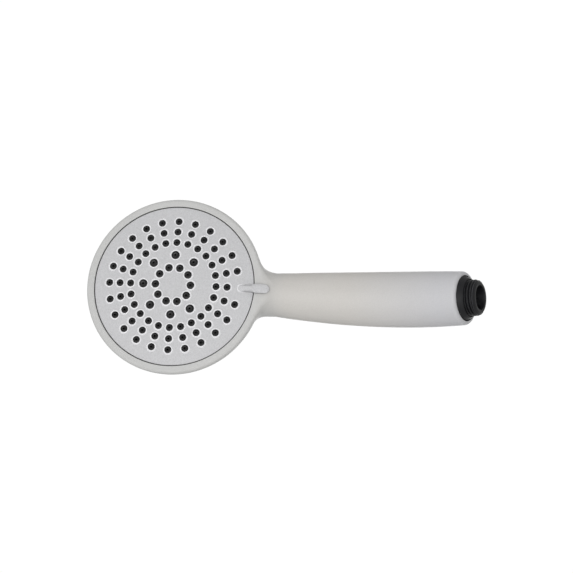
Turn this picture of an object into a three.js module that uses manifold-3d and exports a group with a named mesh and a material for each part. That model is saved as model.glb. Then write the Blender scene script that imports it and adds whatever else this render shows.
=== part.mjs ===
// Handheld shower head with three spray modes, in millimetres.
//
// The part's frame has its origin at the centre of the hose inlet's end face, +Z up the handle and
// the spray face towards -Y. The handle leans forward on its way up, so the head has a frame of its
// own: origin on the head's axis, +Z out of the spray face and +X towards the handle.

import * as THREE from "three";
import { mergeVertices } from "three/addons/utils/BufferGeometryUtils.js";
import Module from "manifold-3d";

const wasm = await Module();
wasm.setup();

// ---- Driving dimensions ----

const HEAD_DIAMETER = 105.5;
const HEAD_DEPTH = 26; // of the bowl behind the head's widest circle
const RIM_WIDTH = 4.8; // from the mouth to the outside of the head
const RIM_TOP = -1.3; // level of the rim's front
const RIM_ROUND = 2; // edge radius at the front of the rim
const WALL = 2.4; // of the housing
const FACE_GAP = 0.35; // between the turning spray face and the rim

const FACE_ANGLE = THREE.MathUtils.degToRad(22); // between the spray face and the inlet's axis
const AXIS_DEPTH = 19; // of the handle's axis behind the spray face
const NECK_RUN = 33.45; // straight length of the handle between the head and the bend
const BEND_RADIUS = 220;
const INLET_STRAIGHT = 12; // from the bend to the inlet's end face
const NECK_WIDTH = 25.7;
const NECK_DEPTH = 25.4;
const NECK_FILLET = 11; // between the neck's sides and the head
const GRIP_WIDTH = 32.8;
const GRIP_DEPTH = 31.4;
const GRIP_RUN = 85.25; // from the head to the handle's thickest point
const END_WALL = 2.15; // of the handle round the collar
const END_ROUND = 1.8; // edge radius at the handle's lower end
const END_SLANT = 0.05; // rise of the handle's end towards its front

const NECK_RECESS = 1.6; // of the neck's front behind the head's widest circle
const MERGE_INSET = 2.75; // from the head's outside to where the neck's front reaches the rim's level
const MERGE_LENGTH = 24; // of the neck's front over which it rises to that level
const MERGE_DROP = 0.3; // of the neck's front below the rim, where they meet
const FLARE_GAIN = 4; // of the fillet's width at the very front of the neck
const FLARE_FOCUS = 3; // how strongly the flare keeps to the neck's front
const SPINE_START = 14; // distance from the head's axis at which the handle's back leaves the bowl
const SPINE_WIDTH = 32; // there
const SPINE_RISE = 2.4; // how much shallower the back is there than at the neck

const THREAD_DIAMETER = 20.955; // G 1/2 pipe thread
const THREAD_PITCH = 1.814;
const THREAD_DEPTH = 1.162;
const THREAD_TURNS = 4;
const THREAD_CHAMFER = 0.9; // height of the chamfer at the inlet's end
const THREAD_LEAD_IN = 1.2; // from the inlet's end to the first groove
const THREAD_STANDOUT = 8.9; // of the inlet beyond the handle's end
const INLET_BORE = 14.2;
const INLET_BORE_DEPTH = 12;
const COLLAR_WIDTH = 2.82; // between the thread and the handle's bore, which holds the collar
const COLLAR_LENGTH = 5.4;
const COLLAR_FLARE = 3.7; // height of the collar's cone
const COLLAR_RECESS = 1; // of the collar behind the handle's end
const FLANGE_THICKNESS = 2;
const WEB_THICKNESS = 2; // of the handle's inner shoulder
const SCREEN_DEPTH = 5.6; // of the strainer behind the inlet's end face
const SCREEN_THICKNESS = 0.8;
const SCREEN_HOLE = 1.6;
const SCREEN_RINGS = [[6, 2.4], [12, 4.8]]; // count and circle radius of the strainer's holes
const LIMITER_HEIGHT = 4.6;
const LIMITER_CORE = 2.2; // radius
const LIMITER_WALL = 1.3;
const LIMITER_FLOOR = 1.2;
const LIMITER_HOLE = 1.4;

const TUBE_DIAMETER = 15;
const TUBE_BORE = 11;
const TIP_DIAMETER = 12.2; // of the tube where it enters the manifold
const TIP_BORE = 8;
const TIP_INSET = 4.95; // of the tube's upper end from the head's outside
const TIP_LENGTH = 14;
const TIP_SEAL = 1.3; // section of the tip's O-rings

const DOME_RADIUS = 390; // of the spray face's front
const NOZZLE_STANDOUT = 0.8; // of the nozzle tips
const EDGE_TO_NOZZLES = 9.1; // from the spray face's edge to its outermost nozzles
const RING_PITCH = 6.5; // between the three outer rings of nozzles
const INNER_RING_RADIUS = 10.5;
const MIDDLE_RING_RADIUS = 17.9;
const OUTER_HOLE = 4.1; // diameters of the holes for the nozzles
const MIDDLE_HOLE = 4.9;
const INNER_HOLE = 4.5;
const ORIFICE = 1.2;

const FACE_THICKNESS = 1.8; // at its edge
const SKIRT_WALL = 1.6;
const SKIRT_INSET = 1.4; // of the skirt from the face's edge
const MAT_THICKNESS = 1.6;
const CHAMBER_DEPTH = 2.9; // between the mats and the channel plate
const CHANNEL_PLATE = 4.2; // its thickness
const RIB = 1.6; // thickness of the walls between the chambers
const SEAL_SECTION = 1.4; // of the chamber seal ring
const SEAL_GROOVE_TOP = 1.1; // of its groove above the channel plate's front
const SKIRT_RISE = 1.8; // of the skirt's end above the channel plate's back

const SELECTOR_STEP = THREE.MathUtils.degToRad(30); // between two spray modes
const LEVER_OVERHANG = 4.45; // of the selector lever beyond the head's outside
const LEVER_WIDTH = 5.4;
const LEVER_TOP = 1.6;
const RIDGE_LENGTH = 8.25; // of the ridge that runs up to the lever
const RIDGE_WIDTH = 3.5;

const PORT_RADIUS = 18; // of the circle that the port and the detent lie on
const PORT_BORE = 10;
const PORT_HOLE = 5.4;
const PORT_WALL = 1.3;
const PORT_SPRING_WIRE = 0.7;
const PORT_SPRING_TURNS = 3;
const SEAL_THICKNESS = 1.8;
const CARRIER_THICKNESS = 1;
const HUB_DIAMETER = 9;
const MANIFOLD_PLATE = 2;
const MANIFOLD_GAP = 2.4; // between the channel plate and the manifold plate
const MANIFOLD_RADIUS = 36;
const MANIFOLD_WALL = 1.6;
const SOCKET_DIAMETER = 16;
const SOCKET_REACH = 0.9; // of the socket beyond the tube's end
const DUCT_WIDTH = 13.2;
const DUCT_DROP = 3; // of the duct's floor behind the handle's axis
const SCREW_CIRCLE = 32; // radius that the manifold's screws lie on
const SCREW_SHANK = 2.9;
const SCREW_HEAD = 5.6;
const SCREW_HEAD_HEIGHT = 1.5;
const SCREW_EDGE = 0.55; // straight part of a screw head's side, as a share of the head's height
const SCREW_CROWN = 0.6; // flat top of a screw head, as a share of its diameter
const DRIVE_LENGTH = 0.56; // of a screw's cross slot, as a share of the head's diameter
const DRIVE_WIDTH = 0.13;
const BOSS_DIAMETER = 6.4;
const DETENT_DIAMETER = 4;
const DETENT_WALL = 1.4;
const DETENT_LENGTH = 6;
const DETENT_SPRING = 3.4; // length of the detent's spring at rest
const DETENT_SPRING_WIRE = 0.5;
const DETENT_SPRING_TURNS = 4;
const DETENT_NOSE = 1; // how far the plunger's nose reaches into the channel plate
const PIVOT_SHANK = 3.2;
const PIVOT_HEAD = 6.4;
const PIVOT_HEAD_HEIGHT = 1.9;
const PIVOT_LENGTH = 12;
const WASHER_THICKNESS = 0.8;
const STOP_RADIUS = 26; // mid radius of the end stops
const STOP_SIZE = 3;

const GAP = 0.3; // between pieces that touch

const HEAD_SIDES = 36; // facets of the head's large circles
const INNER_SIDES = 24;
const TUBE_SIDES = 12;
const SMALL_SIDES = 10;
const NOZZLE_SIDES = 6;
const ORIFICE_SIDES = 4;
const HANDLE_SIDES = 18;

// ---- Sizes worked out from the driving dimensions ----

const HEAD_RADIUS = HEAD_DIAMETER / 2;
const MOUTH_RADIUS = HEAD_RADIUS - RIM_WIDTH + GAP / 2;
const FACE_RADIUS = MOUTH_RADIUS - FACE_GAP;
const OUTER_RING_RADIUS = FACE_RADIUS - EDGE_TO_NOZZLES;
const HEAD_WIDEST = RIM_TOP - RIM_ROUND; // level of the head's widest circle
const LEVER_REACH = HEAD_RADIUS + LEVER_OVERHANG;
const RIDGE_START = FACE_RADIUS - RIDGE_LENGTH;
const TIP_START = HEAD_RADIUS - TIP_INSET; // distance from the head's axis, as are the next ones
const SOCKET_START = TIP_START - SOCKET_REACH;
const MERGE_START = HEAD_RADIUS - MERGE_INSET;
const NECK_STRAIGHT = HEAD_RADIUS + NECK_RUN;
const GRIP_AT = HEAD_RADIUS + GRIP_RUN;
const COLLAR_BORE = THREAD_DIAMETER + 2 * COLLAR_WIDTH;
const END_DIAMETER = COLLAR_BORE + 2 * END_WALL;
const BEND_LENGTH = BEND_RADIUS * FACE_ANGLE;
const AXIS_LENGTH = NECK_STRAIGHT + BEND_LENGTH + INLET_STRAIGHT;
const HANDLE_END = AXIS_LENGTH - THREAD_STANDOUT;
const HANDLE_WEB = THREAD_STANDOUT + COLLAR_RECESS + COLLAR_LENGTH + FLANGE_THICKNESS + 2 * GAP;

const FACE_BACK = faceLevel(FACE_RADIUS) - FACE_THICKNESS;
const MAT_FRONT = FACE_BACK - GAP;
const MAT_BACK = MAT_FRONT - MAT_THICKNESS;
const RIB_TOP = MAT_BACK - GAP;
const CHANNEL_FRONT = MAT_BACK - CHAMBER_DEPTH;
const CHANNEL_BACK = CHANNEL_FRONT - CHANNEL_PLATE;
const MANIFOLD_FRONT = CHANNEL_BACK - MANIFOLD_GAP;
const MANIFOLD_BACK = MANIFOLD_FRONT - MANIFOLD_PLATE;
const CUP_TOP = CHANNEL_BACK - GAP;
const SKIRT_OUTER = FACE_RADIUS - SKIRT_INSET;
const SKIRT_INNER = SKIRT_OUTER - SKIRT_WALL;
const CHANNEL_RADIUS = SKIRT_INNER - 2 * GAP;
const MIDDLE_OUTER_RIB = (MIDDLE_RING_RADIUS + OUTER_RING_RADIUS - 2 * RING_PITCH) / 2;
const INNER_MIDDLE_RIB = (INNER_RING_RADIUS + MIDDLE_RING_RADIUS) / 2;
const PIVOT_RIB = INNER_RING_RADIUS - INNER_HOLE / 2 - RIB;
const DUCT_FLOOR = -AXIS_DEPTH - DUCT_DROP;

// The three mats, each with the nozzles it carries. The outermost ring leaves out the nozzle that
// would stand under the selector's ridge.
const OUTER_NOZZLES = [
  ...ringOfNozzles(OUTER_RING_RADIUS - 2 * RING_PITCH, everyStep(24), OUTER_HOLE),
  ...ringOfNozzles(OUTER_RING_RADIUS - RING_PITCH, everyStep(24), OUTER_HOLE),
  ...ringOfNozzles(OUTER_RING_RADIUS, everyStep(24).slice(1), OUTER_HOLE),
];
const MIDDLE_NOZZLES = ringOfNozzles(MIDDLE_RING_RADIUS, [51, 90, 135, 180, 225, 270, 309], MIDDLE_HOLE);
const INNER_NOZZLES = ringOfNozzles(INNER_RING_RADIUS, everyStep(10), INNER_HOLE);

function everyStep(count) {
  return Array.from({ length: count }, (_, step) => (step * 360) / count);
}

function ringOfNozzles(radius, degrees, hole) {
  return degrees.map((angle) => {
    const turn = THREE.MathUtils.degToRad(angle);
    return { x: radius * Math.cos(turn), y: radius * Math.sin(turn), radius, hole };
  });
}

// The level of the spray face's front at a distance from the head's axis: a shallow dome that is
// zero less the nozzles' standout at the outermost ring.
function faceLevel(radius) {
  return (OUTER_RING_RADIUS ** 2 - radius ** 2) / (2 * DOME_RADIUS) - NOZZLE_STANDOUT;
}

// The handle's axis at a distance from the head's axis: a point, the way down and the way forward.
function handleAxis(fromHead) {
  const height = AXIS_LENGTH - fromHead;
  const turn = THREE.MathUtils.clamp((height - INLET_STRAIGHT) / BEND_RADIUS, 0, FACE_ANGLE);
  const down = new THREE.Vector3(0, Math.sin(turn), -Math.cos(turn));
  const forward = new THREE.Vector3(0, -Math.cos(turn), -Math.sin(turn));
  const point = new THREE.Vector3(0, BEND_RADIUS * (Math.cos(turn) - 1), BEND_RADIUS * Math.sin(turn));
  point.z += Math.min(height, INLET_STRAIGHT);
  point.addScaledVector(down, -Math.max(height - INLET_STRAIGHT - BEND_LENGTH, 0));
  return { point, down, forward };
}

// From the head's frame to the part's frame.
function headMatrix() {
  const { point, down, forward } = handleAxis(0);
  const matrix = new THREE.Matrix4().makeBasis(down, new THREE.Vector3(1, 0, 0), forward);
  return matrix.setPosition(point.addScaledVector(forward, AXIS_DEPTH));
}

// ---- Shapes ----

function solid(geometry) {
  const bare = new THREE.BufferGeometry();
  bare.setAttribute("position", geometry.getAttribute("position"));
  bare.setIndex(geometry.index);
  const merged = mergeVertices(bare, 1e-3);
  return new wasm.Manifold(
    new wasm.Mesh({
      numProp: 3,
      vertProperties: merged.getAttribute("position").array,
      triVerts: new Uint32Array(merged.index.array),
    }),
  );
}

function geometryOf(body) {
  const { numProp, vertProperties, triVerts } = body.getMesh();
  const geometry = new THREE.BufferGeometry();
  const packed = new THREE.InterleavedBuffer(vertProperties, numProp);
  geometry.setAttribute("position", new THREE.InterleavedBufferAttribute(packed, 3, 0));
  geometry.setIndex(new THREE.BufferAttribute(triVerts, 1));
  const faceted = geometry.toNonIndexed();
  faceted.computeVertexNormals();
  return faceted;
}

// A solid of revolution about Z from [radius, level] points, anticlockwise with the radius to the right.
function revolve(profile, sides = INNER_SIDES) {
  const points = profile.map(([radius, level]) => new THREE.Vector2(radius, level));
  if (profile[0][0] > 0) points.push(points[0].clone());
  return new THREE.LatheGeometry(points, sides).rotateX(Math.PI / 2);
}

function rod(radius, from, to, sides = SMALL_SIDES) {
  return revolve([[0, from], [radius, from], [radius, to], [0, to]], sides);
}

function ring(inner, outer, from, to, sides = INNER_SIDES) {
  return revolve([[inner, from], [outer, from], [outer, to], [inner, to]], sides);
}

function torus(radius, section, sides = INNER_SIDES) {
  return new THREE.TorusGeometry(radius, section / 2, NOZZLE_SIDES, sides);
}

function extrude(shape, from, to) {
  const options = { depth: to - from, bevelEnabled: false, curveSegments: NOZZLE_SIDES };
  return new THREE.ExtrudeGeometry(shape, options).translate(0, 0, from);
}

// A bar with round ends between two places on X.
function slotShape(start, end, radius) {
  const shape = new THREE.Shape();
  shape.absarc(end, 0, radius, -Math.PI / 2, Math.PI / 2);
  shape.absarc(start, 0, radius, Math.PI / 2, (3 * Math.PI) / 2);
  return shape;
}

// A piece of a flat ring about Z, centred on an angle.
function sectorShape(radius, width, centre, length) {
  const half = length / radius / 2;
  const shape = new THREE.Shape();
  shape.absarc(0, 0, radius + width / 2, centre - half, centre + half);
  shape.absarc(0, 0, radius - width / 2, centre + half, centre - half, true);
  return shape;
}

// A closed skin over rings of points, which run anticlockwise about the way from the first ring to the last.
function loft(rings) {
  const sides = rings[0].length;
  const last = (rings.length - 1) * sides;
  const faces = [];
  for (let start = 0; start < last; start += sides) {
    for (let side = 0; side < sides; side++) {
      const here = start + side;
      const next = start + ((side + 1) % sides);
      faces.push(here, next, next + sides, here, next + sides, here + sides);
    }
  }
  for (let side = 1; side + 1 < sides; side++) {
    faces.push(0, side + 1, side);
    faces.push(last, last + side, last + side + 1);
  }
  const geometry = new THREE.BufferGeometry().setFromPoints(rings.flat());
  geometry.setIndex(faces);
  return geometry;
}

// An oval ring of points round the handle's axis. Front and back are distances ahead of the axis, a
// flare widens the oval towards its front, and a slant lifts its front.
function handleRing(fromHead, { halfWidth, front, back, flare = 0 }, sides, slant = 0) {
  const { point, down, forward } = handleAxis(fromHead);
  return Array.from({ length: sides }, (_, side) => {
    const turn = (2 * Math.PI * side) / sides;
    const ahead = (front + back) / 2 + ((front - back) / 2) * Math.sin(turn);
    const place = point.clone().addScaledVector(forward, ahead).addScaledVector(down, -slant * ahead);
    place.x += (halfWidth + flare * ((1 + Math.sin(turn)) / 2) ** FLARE_FOCUS) * Math.cos(turn);
    return place;
  });
}

function roundSection(radius) {
  return { halfWidth: radius, front: radius, back: -radius };
}

// The section with a wall taken off all round.
function insetSection({ halfWidth, front, back, flare }, wall) {
  return { halfWidth: halfWidth - wall, front: front - wall, back: back + wall, flare };
}

function coilSpring(radius, wire, length, turns) {
  class Coil extends THREE.Curve {
    getPoint(along, target = new THREE.Vector3()) {
      const turn = 2 * Math.PI * turns * along;
      const level = wire / 2 + (length - wire) * along;
      return target.set(radius * Math.cos(turn), radius * Math.sin(turn), level);
    }
  }
  const section = new THREE.Shape().absarc(0, 0, wire / 2, 0, 2 * Math.PI);
  const options = { extrudePath: new Coil(), steps: 12 * turns, curveSegments: ORIFICE_SIDES / 2 };
  return new THREE.ExtrudeGeometry(section, { ...options, bevelEnabled: false });
}

// A cross-head screw that points down, with the underside of its head at zero.
function screw(shank, head, headHeight, length) {
  const body = solid(
    revolve(
      [
        [0, -length],
        [shank / 2, shank - length],
        [shank / 2, 0],
        [head / 2, 0],
        [head / 2, headHeight * SCREW_EDGE],
        [(head * SCREW_CROWN) / 2, headHeight],
        [0, headHeight],
      ],
      SMALL_SIDES,
    ),
  );
  const slot = new THREE.BoxGeometry(head * DRIVE_LENGTH, head * DRIVE_WIDTH, headHeight);
  const across = solid(slot.translate(0, 0, headHeight));
  return geometryOf(body.subtract(across.add(across.rotate([0, 0, 90]))));
}

// ---- Housing ----

// The distance from the head's axis at which the neck's side fillet ends in the neck.
function neckStart() {
  const reach = HEAD_RADIUS + NECK_FILLET;
  const rise = NECK_WIDTH / 2 + NECK_FILLET;
  return Math.sqrt(reach ** 2 - rise ** 2);
}

// Half the handle's width, its front and back, and its flare at a distance from the head's axis.
function handleSection(fromHead) {
  const neck = neckStart();
  if (fromHead > GRIP_AT) {
    const share = ((fromHead - GRIP_AT) / (HANDLE_END - GRIP_AT)) ** 2;
    const halfWidth = THREE.MathUtils.lerp(GRIP_WIDTH, END_DIAMETER, share) / 2;
    const halfDepth = THREE.MathUtils.lerp(GRIP_DEPTH, END_DIAMETER, share) / 2;
    return { halfWidth, front: halfDepth, back: -halfDepth, flare: 0 };
  }
  const grip = 1 - ((GRIP_AT - Math.max(fromHead, neck)) / (GRIP_AT - neck)) ** 2;
  const spine = Math.max(neck - fromHead, 0) / (neck - SPINE_START);
  const halfDepth = THREE.MathUtils.lerp(NECK_DEPTH, GRIP_DEPTH, grip) / 2;
  const shift = (1 - grip) * neckShift();
  const merge = 1 - THREE.MathUtils.smoothstep(fromHead, MERGE_START, MERGE_START + MERGE_LENGTH);
  return {
    halfWidth: (THREE.MathUtils.lerp(NECK_WIDTH, GRIP_WIDTH, grip) + spine * (SPINE_WIDTH - NECK_WIDTH)) / 2,
    front: THREE.MathUtils.lerp(halfDepth + shift, AXIS_DEPTH + RIM_TOP - MERGE_DROP, merge),
    back: shift - halfDepth + spine * SPINE_RISE,
    flare: fromHead < neck ? flareWidth(fromHead) * FLARE_GAIN : 0,
  };
}

// How far the neck's middle stands ahead of the handle's axis, which brings its front up to the rim.
function neckShift() {
  return AXIS_DEPTH + HEAD_WIDEST - NECK_DEPTH / 2 - NECK_RECESS;
}

// Where the neck's side fillet meets the head's outline.
function flareTouch() {
  return (neckStart() * HEAD_RADIUS) / (HEAD_RADIUS + NECK_FILLET);
}

// How much wider the neck is on each side than at its narrowest: the side fillet, then a straight
// taper inside the head.
function flareWidth(fromHead) {
  const touch = flareTouch();
  const at = Math.max(fromHead, touch);
  const fillet = NECK_FILLET - Math.sqrt(NECK_FILLET ** 2 - (neckStart() - at) ** 2);
  return fillet * Math.min(1, (fromHead - SPINE_START) / (touch - SPINE_START));
}

// Where the handle's sections are drawn: close together in the flare, further apart along the grip.
function handleStations(end) {
  const neck = neckStart();
  const touch = flareTouch();
  const flare = [0, 0.2, 0.45, 0.7, 1].map((share) => THREE.MathUtils.lerp(touch, neck, share));
  const steps = 9;
  const grip = Array.from({ length: steps }, (_, step) => neck + ((end - neck) * (step + 1)) / steps);
  return [SPINE_START, (SPINE_START + touch) / 2, ...flare, ...grip];
}

function handleOuter() {
  const end = HANDLE_END - END_ROUND;
  const rings = handleStations(end).map((fromHead) => {
    const slant = fromHead < end ? 0 : END_SLANT;
    return handleRing(fromHead, handleSection(fromHead), HANDLE_SIDES, slant);
  });
  for (const turn of [Math.PI / 6, Math.PI / 3, Math.PI / 2]) {
    const fromHead = HANDLE_END - END_ROUND * (1 - Math.sin(turn));
    const section = insetSection(handleSection(fromHead), END_ROUND * (1 - Math.cos(turn)));
    rings.push(handleRing(fromHead, section, HANDLE_SIDES, END_SLANT));
  }
  return loft(rings);
}

function handleInner() {
  const rings = handleStations(AXIS_LENGTH - HANDLE_WEB - WEB_THICKNESS).map((fromHead) => {
    return handleRing(fromHead, insetSection(handleSection(fromHead), WALL), HANDLE_SIDES);
  });
  return loft(rings);
}

// The curve of the bowl's back from its widest circle to the head's axis, less a wall.
function bowlCurve(wall, steps) {
  return Array.from({ length: steps + 1 }, (_, step) => {
    const turn = (Math.PI / 2) * (1 - step / steps);
    const radius = step === 0 ? 0 : (HEAD_RADIUS - wall) * Math.cos(turn);
    return [radius, HEAD_WIDEST - (HEAD_DEPTH - wall) * Math.sin(turn)];
  });
}

function bowlOuter() {
  const corner = HEAD_RADIUS - RIM_ROUND;
  const rim = [Math.PI / 6, Math.PI / 3, Math.PI / 2].map((turn) => [
    corner + RIM_ROUND * Math.cos(turn),
    HEAD_WIDEST + RIM_ROUND * Math.sin(turn),
  ]);
  return revolve([...bowlCurve(0, 8), ...rim, [0, RIM_TOP]], HEAD_SIDES);
}

function bowlInner() {
  const curve = bowlCurve(WALL, 7).filter(([radius]) => radius < MOUTH_RADIUS - GAP);
  const reach = (HEAD_RADIUS - WALL) ** 2;
  const shoulder = HEAD_WIDEST - (HEAD_DEPTH - WALL) * Math.sqrt(1 - MOUTH_RADIUS ** 2 / reach);
  const above = RIM_TOP + 1;
  return revolve([...curve, [MOUTH_RADIUS, shoulder], [MOUTH_RADIUS, above], [0, above]], HEAD_SIDES);
}

function screwPlaces() {
  return [60, 180, 300].map((angle) => {
    const turn = THREE.MathUtils.degToRad(angle);
    return [SCREW_CIRCLE * Math.cos(turn), SCREW_CIRCLE * Math.sin(turn)];
  });
}

// One moulding: the head's bowl and rim, the neck and the hollow handle, with an inner shoulder for
// the waterway tube and three bosses for the manifold's screws.
function bodyShell() {
  const toPart = headMatrix();
  const outer = solid(bowlOuter().applyMatrix4(toPart)).add(solid(handleOuter()));
  const collarBore = rod(COLLAR_BORE / 2, 0, HANDLE_WEB, HEAD_SIDES);
  const tubeHole = rod(TUBE_DIAMETER / 2 + 3 * GAP, 0, HANDLE_WEB + 2 * WEB_THICKNESS, TUBE_SIDES);
  let shell = outer
    .subtract(solid(bowlInner().applyMatrix4(toPart)))
    .subtract(solid(handleInner()))
    .subtract(solid(collarBore))
    .subtract(solid(tubeHole));
  for (const [x, y] of screwPlaces()) {
    const bottom = HEAD_WIDEST - HEAD_DEPTH;
    const boss = rod(BOSS_DIAMETER / 2, bottom, MANIFOLD_BACK - GAP).translate(x, y, 0);
    const depth = MANIFOLD_BACK - screwLength() + MANIFOLD_PLATE - GAP;
    const pilot = rod(SCREW_SHANK / 2 + GAP, depth, RIM_TOP).translate(x, y, 0);
    shell = shell
      .add(solid(boss.applyMatrix4(toPart)).intersect(outer))
      .subtract(solid(pilot.applyMatrix4(toPart)));
  }
  return geometryOf(shell);
}

// The manifold's screws end inside the bosses, short of the bowl's back.
function screwLength() {
  const reach = HEAD_DEPTH - WALL;
  const floor = HEAD_WIDEST - reach * Math.sqrt(1 - (SCREW_CIRCLE / (HEAD_RADIUS - WALL)) ** 2);
  return MANIFOLD_FRONT - floor - 2 * GAP;
}

// ---- Inlet and waterway ----

// The outside of the inlet: a chamfered end, thread ridges at the thread's pitch, and a plain neck.
function threadProfile() {
  const crest = THREAD_DIAMETER / 2;
  const root = crest - THREAD_DEPTH;
  const flank = THREAD_PITCH * 0.4;
  const profile = [[0, 0], [crest - THREAD_DEPTH * 1.5, 0], [crest - THREAD_DEPTH / 4, THREAD_CHAMFER]];
  for (let turn = 0; turn < THREAD_TURNS; turn++) {
    const start = THREAD_LEAD_IN + turn * THREAD_PITCH;
    profile.push([root, start], [crest, start + flank], [crest, start + THREAD_PITCH - flank]);
  }
  profile.push([root, THREAD_LEAD_IN + THREAD_TURNS * THREAD_PITCH]);
  return profile;
}

// A plain round tube along the handle's axis.
function axisTube(radius, from, to, steps) {
  const rings = Array.from({ length: steps + 1 }, (_, step) => {
    const fromHead = THREE.MathUtils.lerp(from, to, step / steps);
    return handleRing(fromHead, roundSection(radius), TUBE_SIDES);
  });
  return loft(rings);
}

// Black waterway core: the threaded inlet, its flange, the tube up the handle and the grooved tip.
function waterwayTube() {
  const flange = COLLAR_BORE / 2 - GAP;
  const flangeTop = HANDLE_WEB - GAP;
  const root = THREAD_DIAMETER / 2 - THREAD_DEPTH;
  const inlet = revolve(
    [
      ...threadProfile(),
      [root, flangeTop - FLANGE_THICKNESS],
      [flange, flangeTop - FLANGE_THICKNESS],
      [flange, flangeTop],
      [0, flangeTop],
    ],
    INNER_SIDES,
  );
  const tipEnd = TIP_START + TIP_LENGTH;
  const tubeEnd = AXIS_LENGTH - flangeTop + FLANGE_THICKNESS / 2;
  const start = TIP_START - 1;
  const end = AXIS_LENGTH - INLET_BORE_DEPTH;
  let tube = solid(inlet)
    .add(solid(axisTube(TUBE_DIAMETER / 2, tipEnd, tubeEnd, 9)))
    .add(solid(axisTube(TIP_DIAMETER / 2, TIP_START, tipEnd + 1, 1)))
    .subtract(solid(axisTube(TUBE_BORE / 2, tipEnd + 2, end + 1, 9)))
    .subtract(solid(axisTube(TIP_BORE / 2, start, tipEnd + 3, 1)))
    .subtract(solid(rod(INLET_BORE / 2, -1, INLET_BORE_DEPTH, INNER_SIDES)));
  for (const at of tipSealPlaces()) {
    const half = TIP_SEAL / 2 + GAP;
    const inner = TIP_DIAMETER / 2 - TIP_SEAL + GAP / 2;
    const groove = ring(inner - GAP, TIP_DIAMETER, at - half, at + half, TUBE_SIDES);
    groove.rotateY(Math.PI / 2).translate(0, 0, -AXIS_DEPTH).applyMatrix4(headMatrix());
    tube = tube.subtract(solid(groove));
  }
  return geometryOf(tube);
}

function tipSealPlaces() {
  return [TIP_START + TIP_LENGTH * 0.25, TIP_START + TIP_LENGTH * 0.55];
}

function tipSealRadius() {
  return TIP_DIAMETER / 2 - TIP_SEAL / 2 + GAP / 2;
}

// Black trim ring that slides over the thread and clamps the tube's flange in the handle.
function inletCollar() {
  const inner = THREAD_DIAMETER / 2 + GAP;
  const outer = COLLAR_BORE / 2 - GAP;
  const front = THREAD_STANDOUT + COLLAR_RECESS;
  const back = front + COLLAR_LENGTH;
  return revolve([
    [inner, front - COLLAR_FLARE],
    [inner + 2 * GAP, front - COLLAR_FLARE],
    [outer, front - 2 * GAP],
    [outer, back],
    [inner, back],
  ]);
}

// Perforated steel disc across the inlet's bore.
function inletScreen() {
  const top = SCREEN_DEPTH + SCREEN_THICKNESS;
  let disc = solid(rod(INLET_BORE / 2 - GAP, SCREEN_DEPTH, top, INNER_SIDES));
  const places = [[0, 0]];
  for (const [count, circle] of SCREEN_RINGS) {
    for (const angle of everyStep(count)) {
      const turn = THREE.MathUtils.degToRad(angle);
      places.push([circle * Math.cos(turn), circle * Math.sin(turn)]);
    }
  }
  for (const [x, y] of places) {
    const hole = rod(SCREEN_HOLE / 2, SCREEN_DEPTH - GAP, top + GAP, ORIFICE_SIDES);
    disc = disc.subtract(solid(hole.translate(x, y, 0)));
  }
  return geometryOf(disc);
}

// The regulator's body: an outer ring and a core, which leave an annular groove open to the inlet.
function limiterBody() {
  const top = INLET_BORE_DEPTH - GAP;
  const bottom = top - LIMITER_HEIGHT;
  const floor = top - LIMITER_FLOOR;
  const outer = INLET_BORE / 2 - GAP;
  const inner = outer - LIMITER_WALL;
  const coreEnd = bottom + LIMITER_WALL / 2;
  let body = solid(
    revolve(
      [
        [0, coreEnd],
        [LIMITER_CORE, coreEnd],
        [LIMITER_CORE, floor],
        [inner, floor],
        [inner, bottom],
        [outer, bottom],
        [outer, top],
        [0, top],
      ],
      TUBE_SIDES,
    ),
  );
  for (const angle of everyStep(8)) {
    const turn = THREE.MathUtils.degToRad(angle);
    const middle = (LIMITER_CORE + inner) / 2;
    const hole = rod(LIMITER_HOLE / 2, floor - GAP, top + GAP, ORIFICE_SIDES);
    body = body.subtract(solid(hole.translate(middle * Math.cos(turn), middle * Math.sin(turn), 0)));
  }
  return geometryOf(body);
}

function limiterRing() {
  const outer = INLET_BORE / 2 - GAP - LIMITER_WALL;
  const section = outer - LIMITER_CORE - 2 * GAP;
  const level = INLET_BORE_DEPTH - LIMITER_FLOOR - 2 * GAP - section / 2;
  return torus((LIMITER_CORE + outer) / 2, section, TUBE_SIDES).translate(0, 0, level);
}

// ---- Fixed valve parts in the head ----

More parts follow.
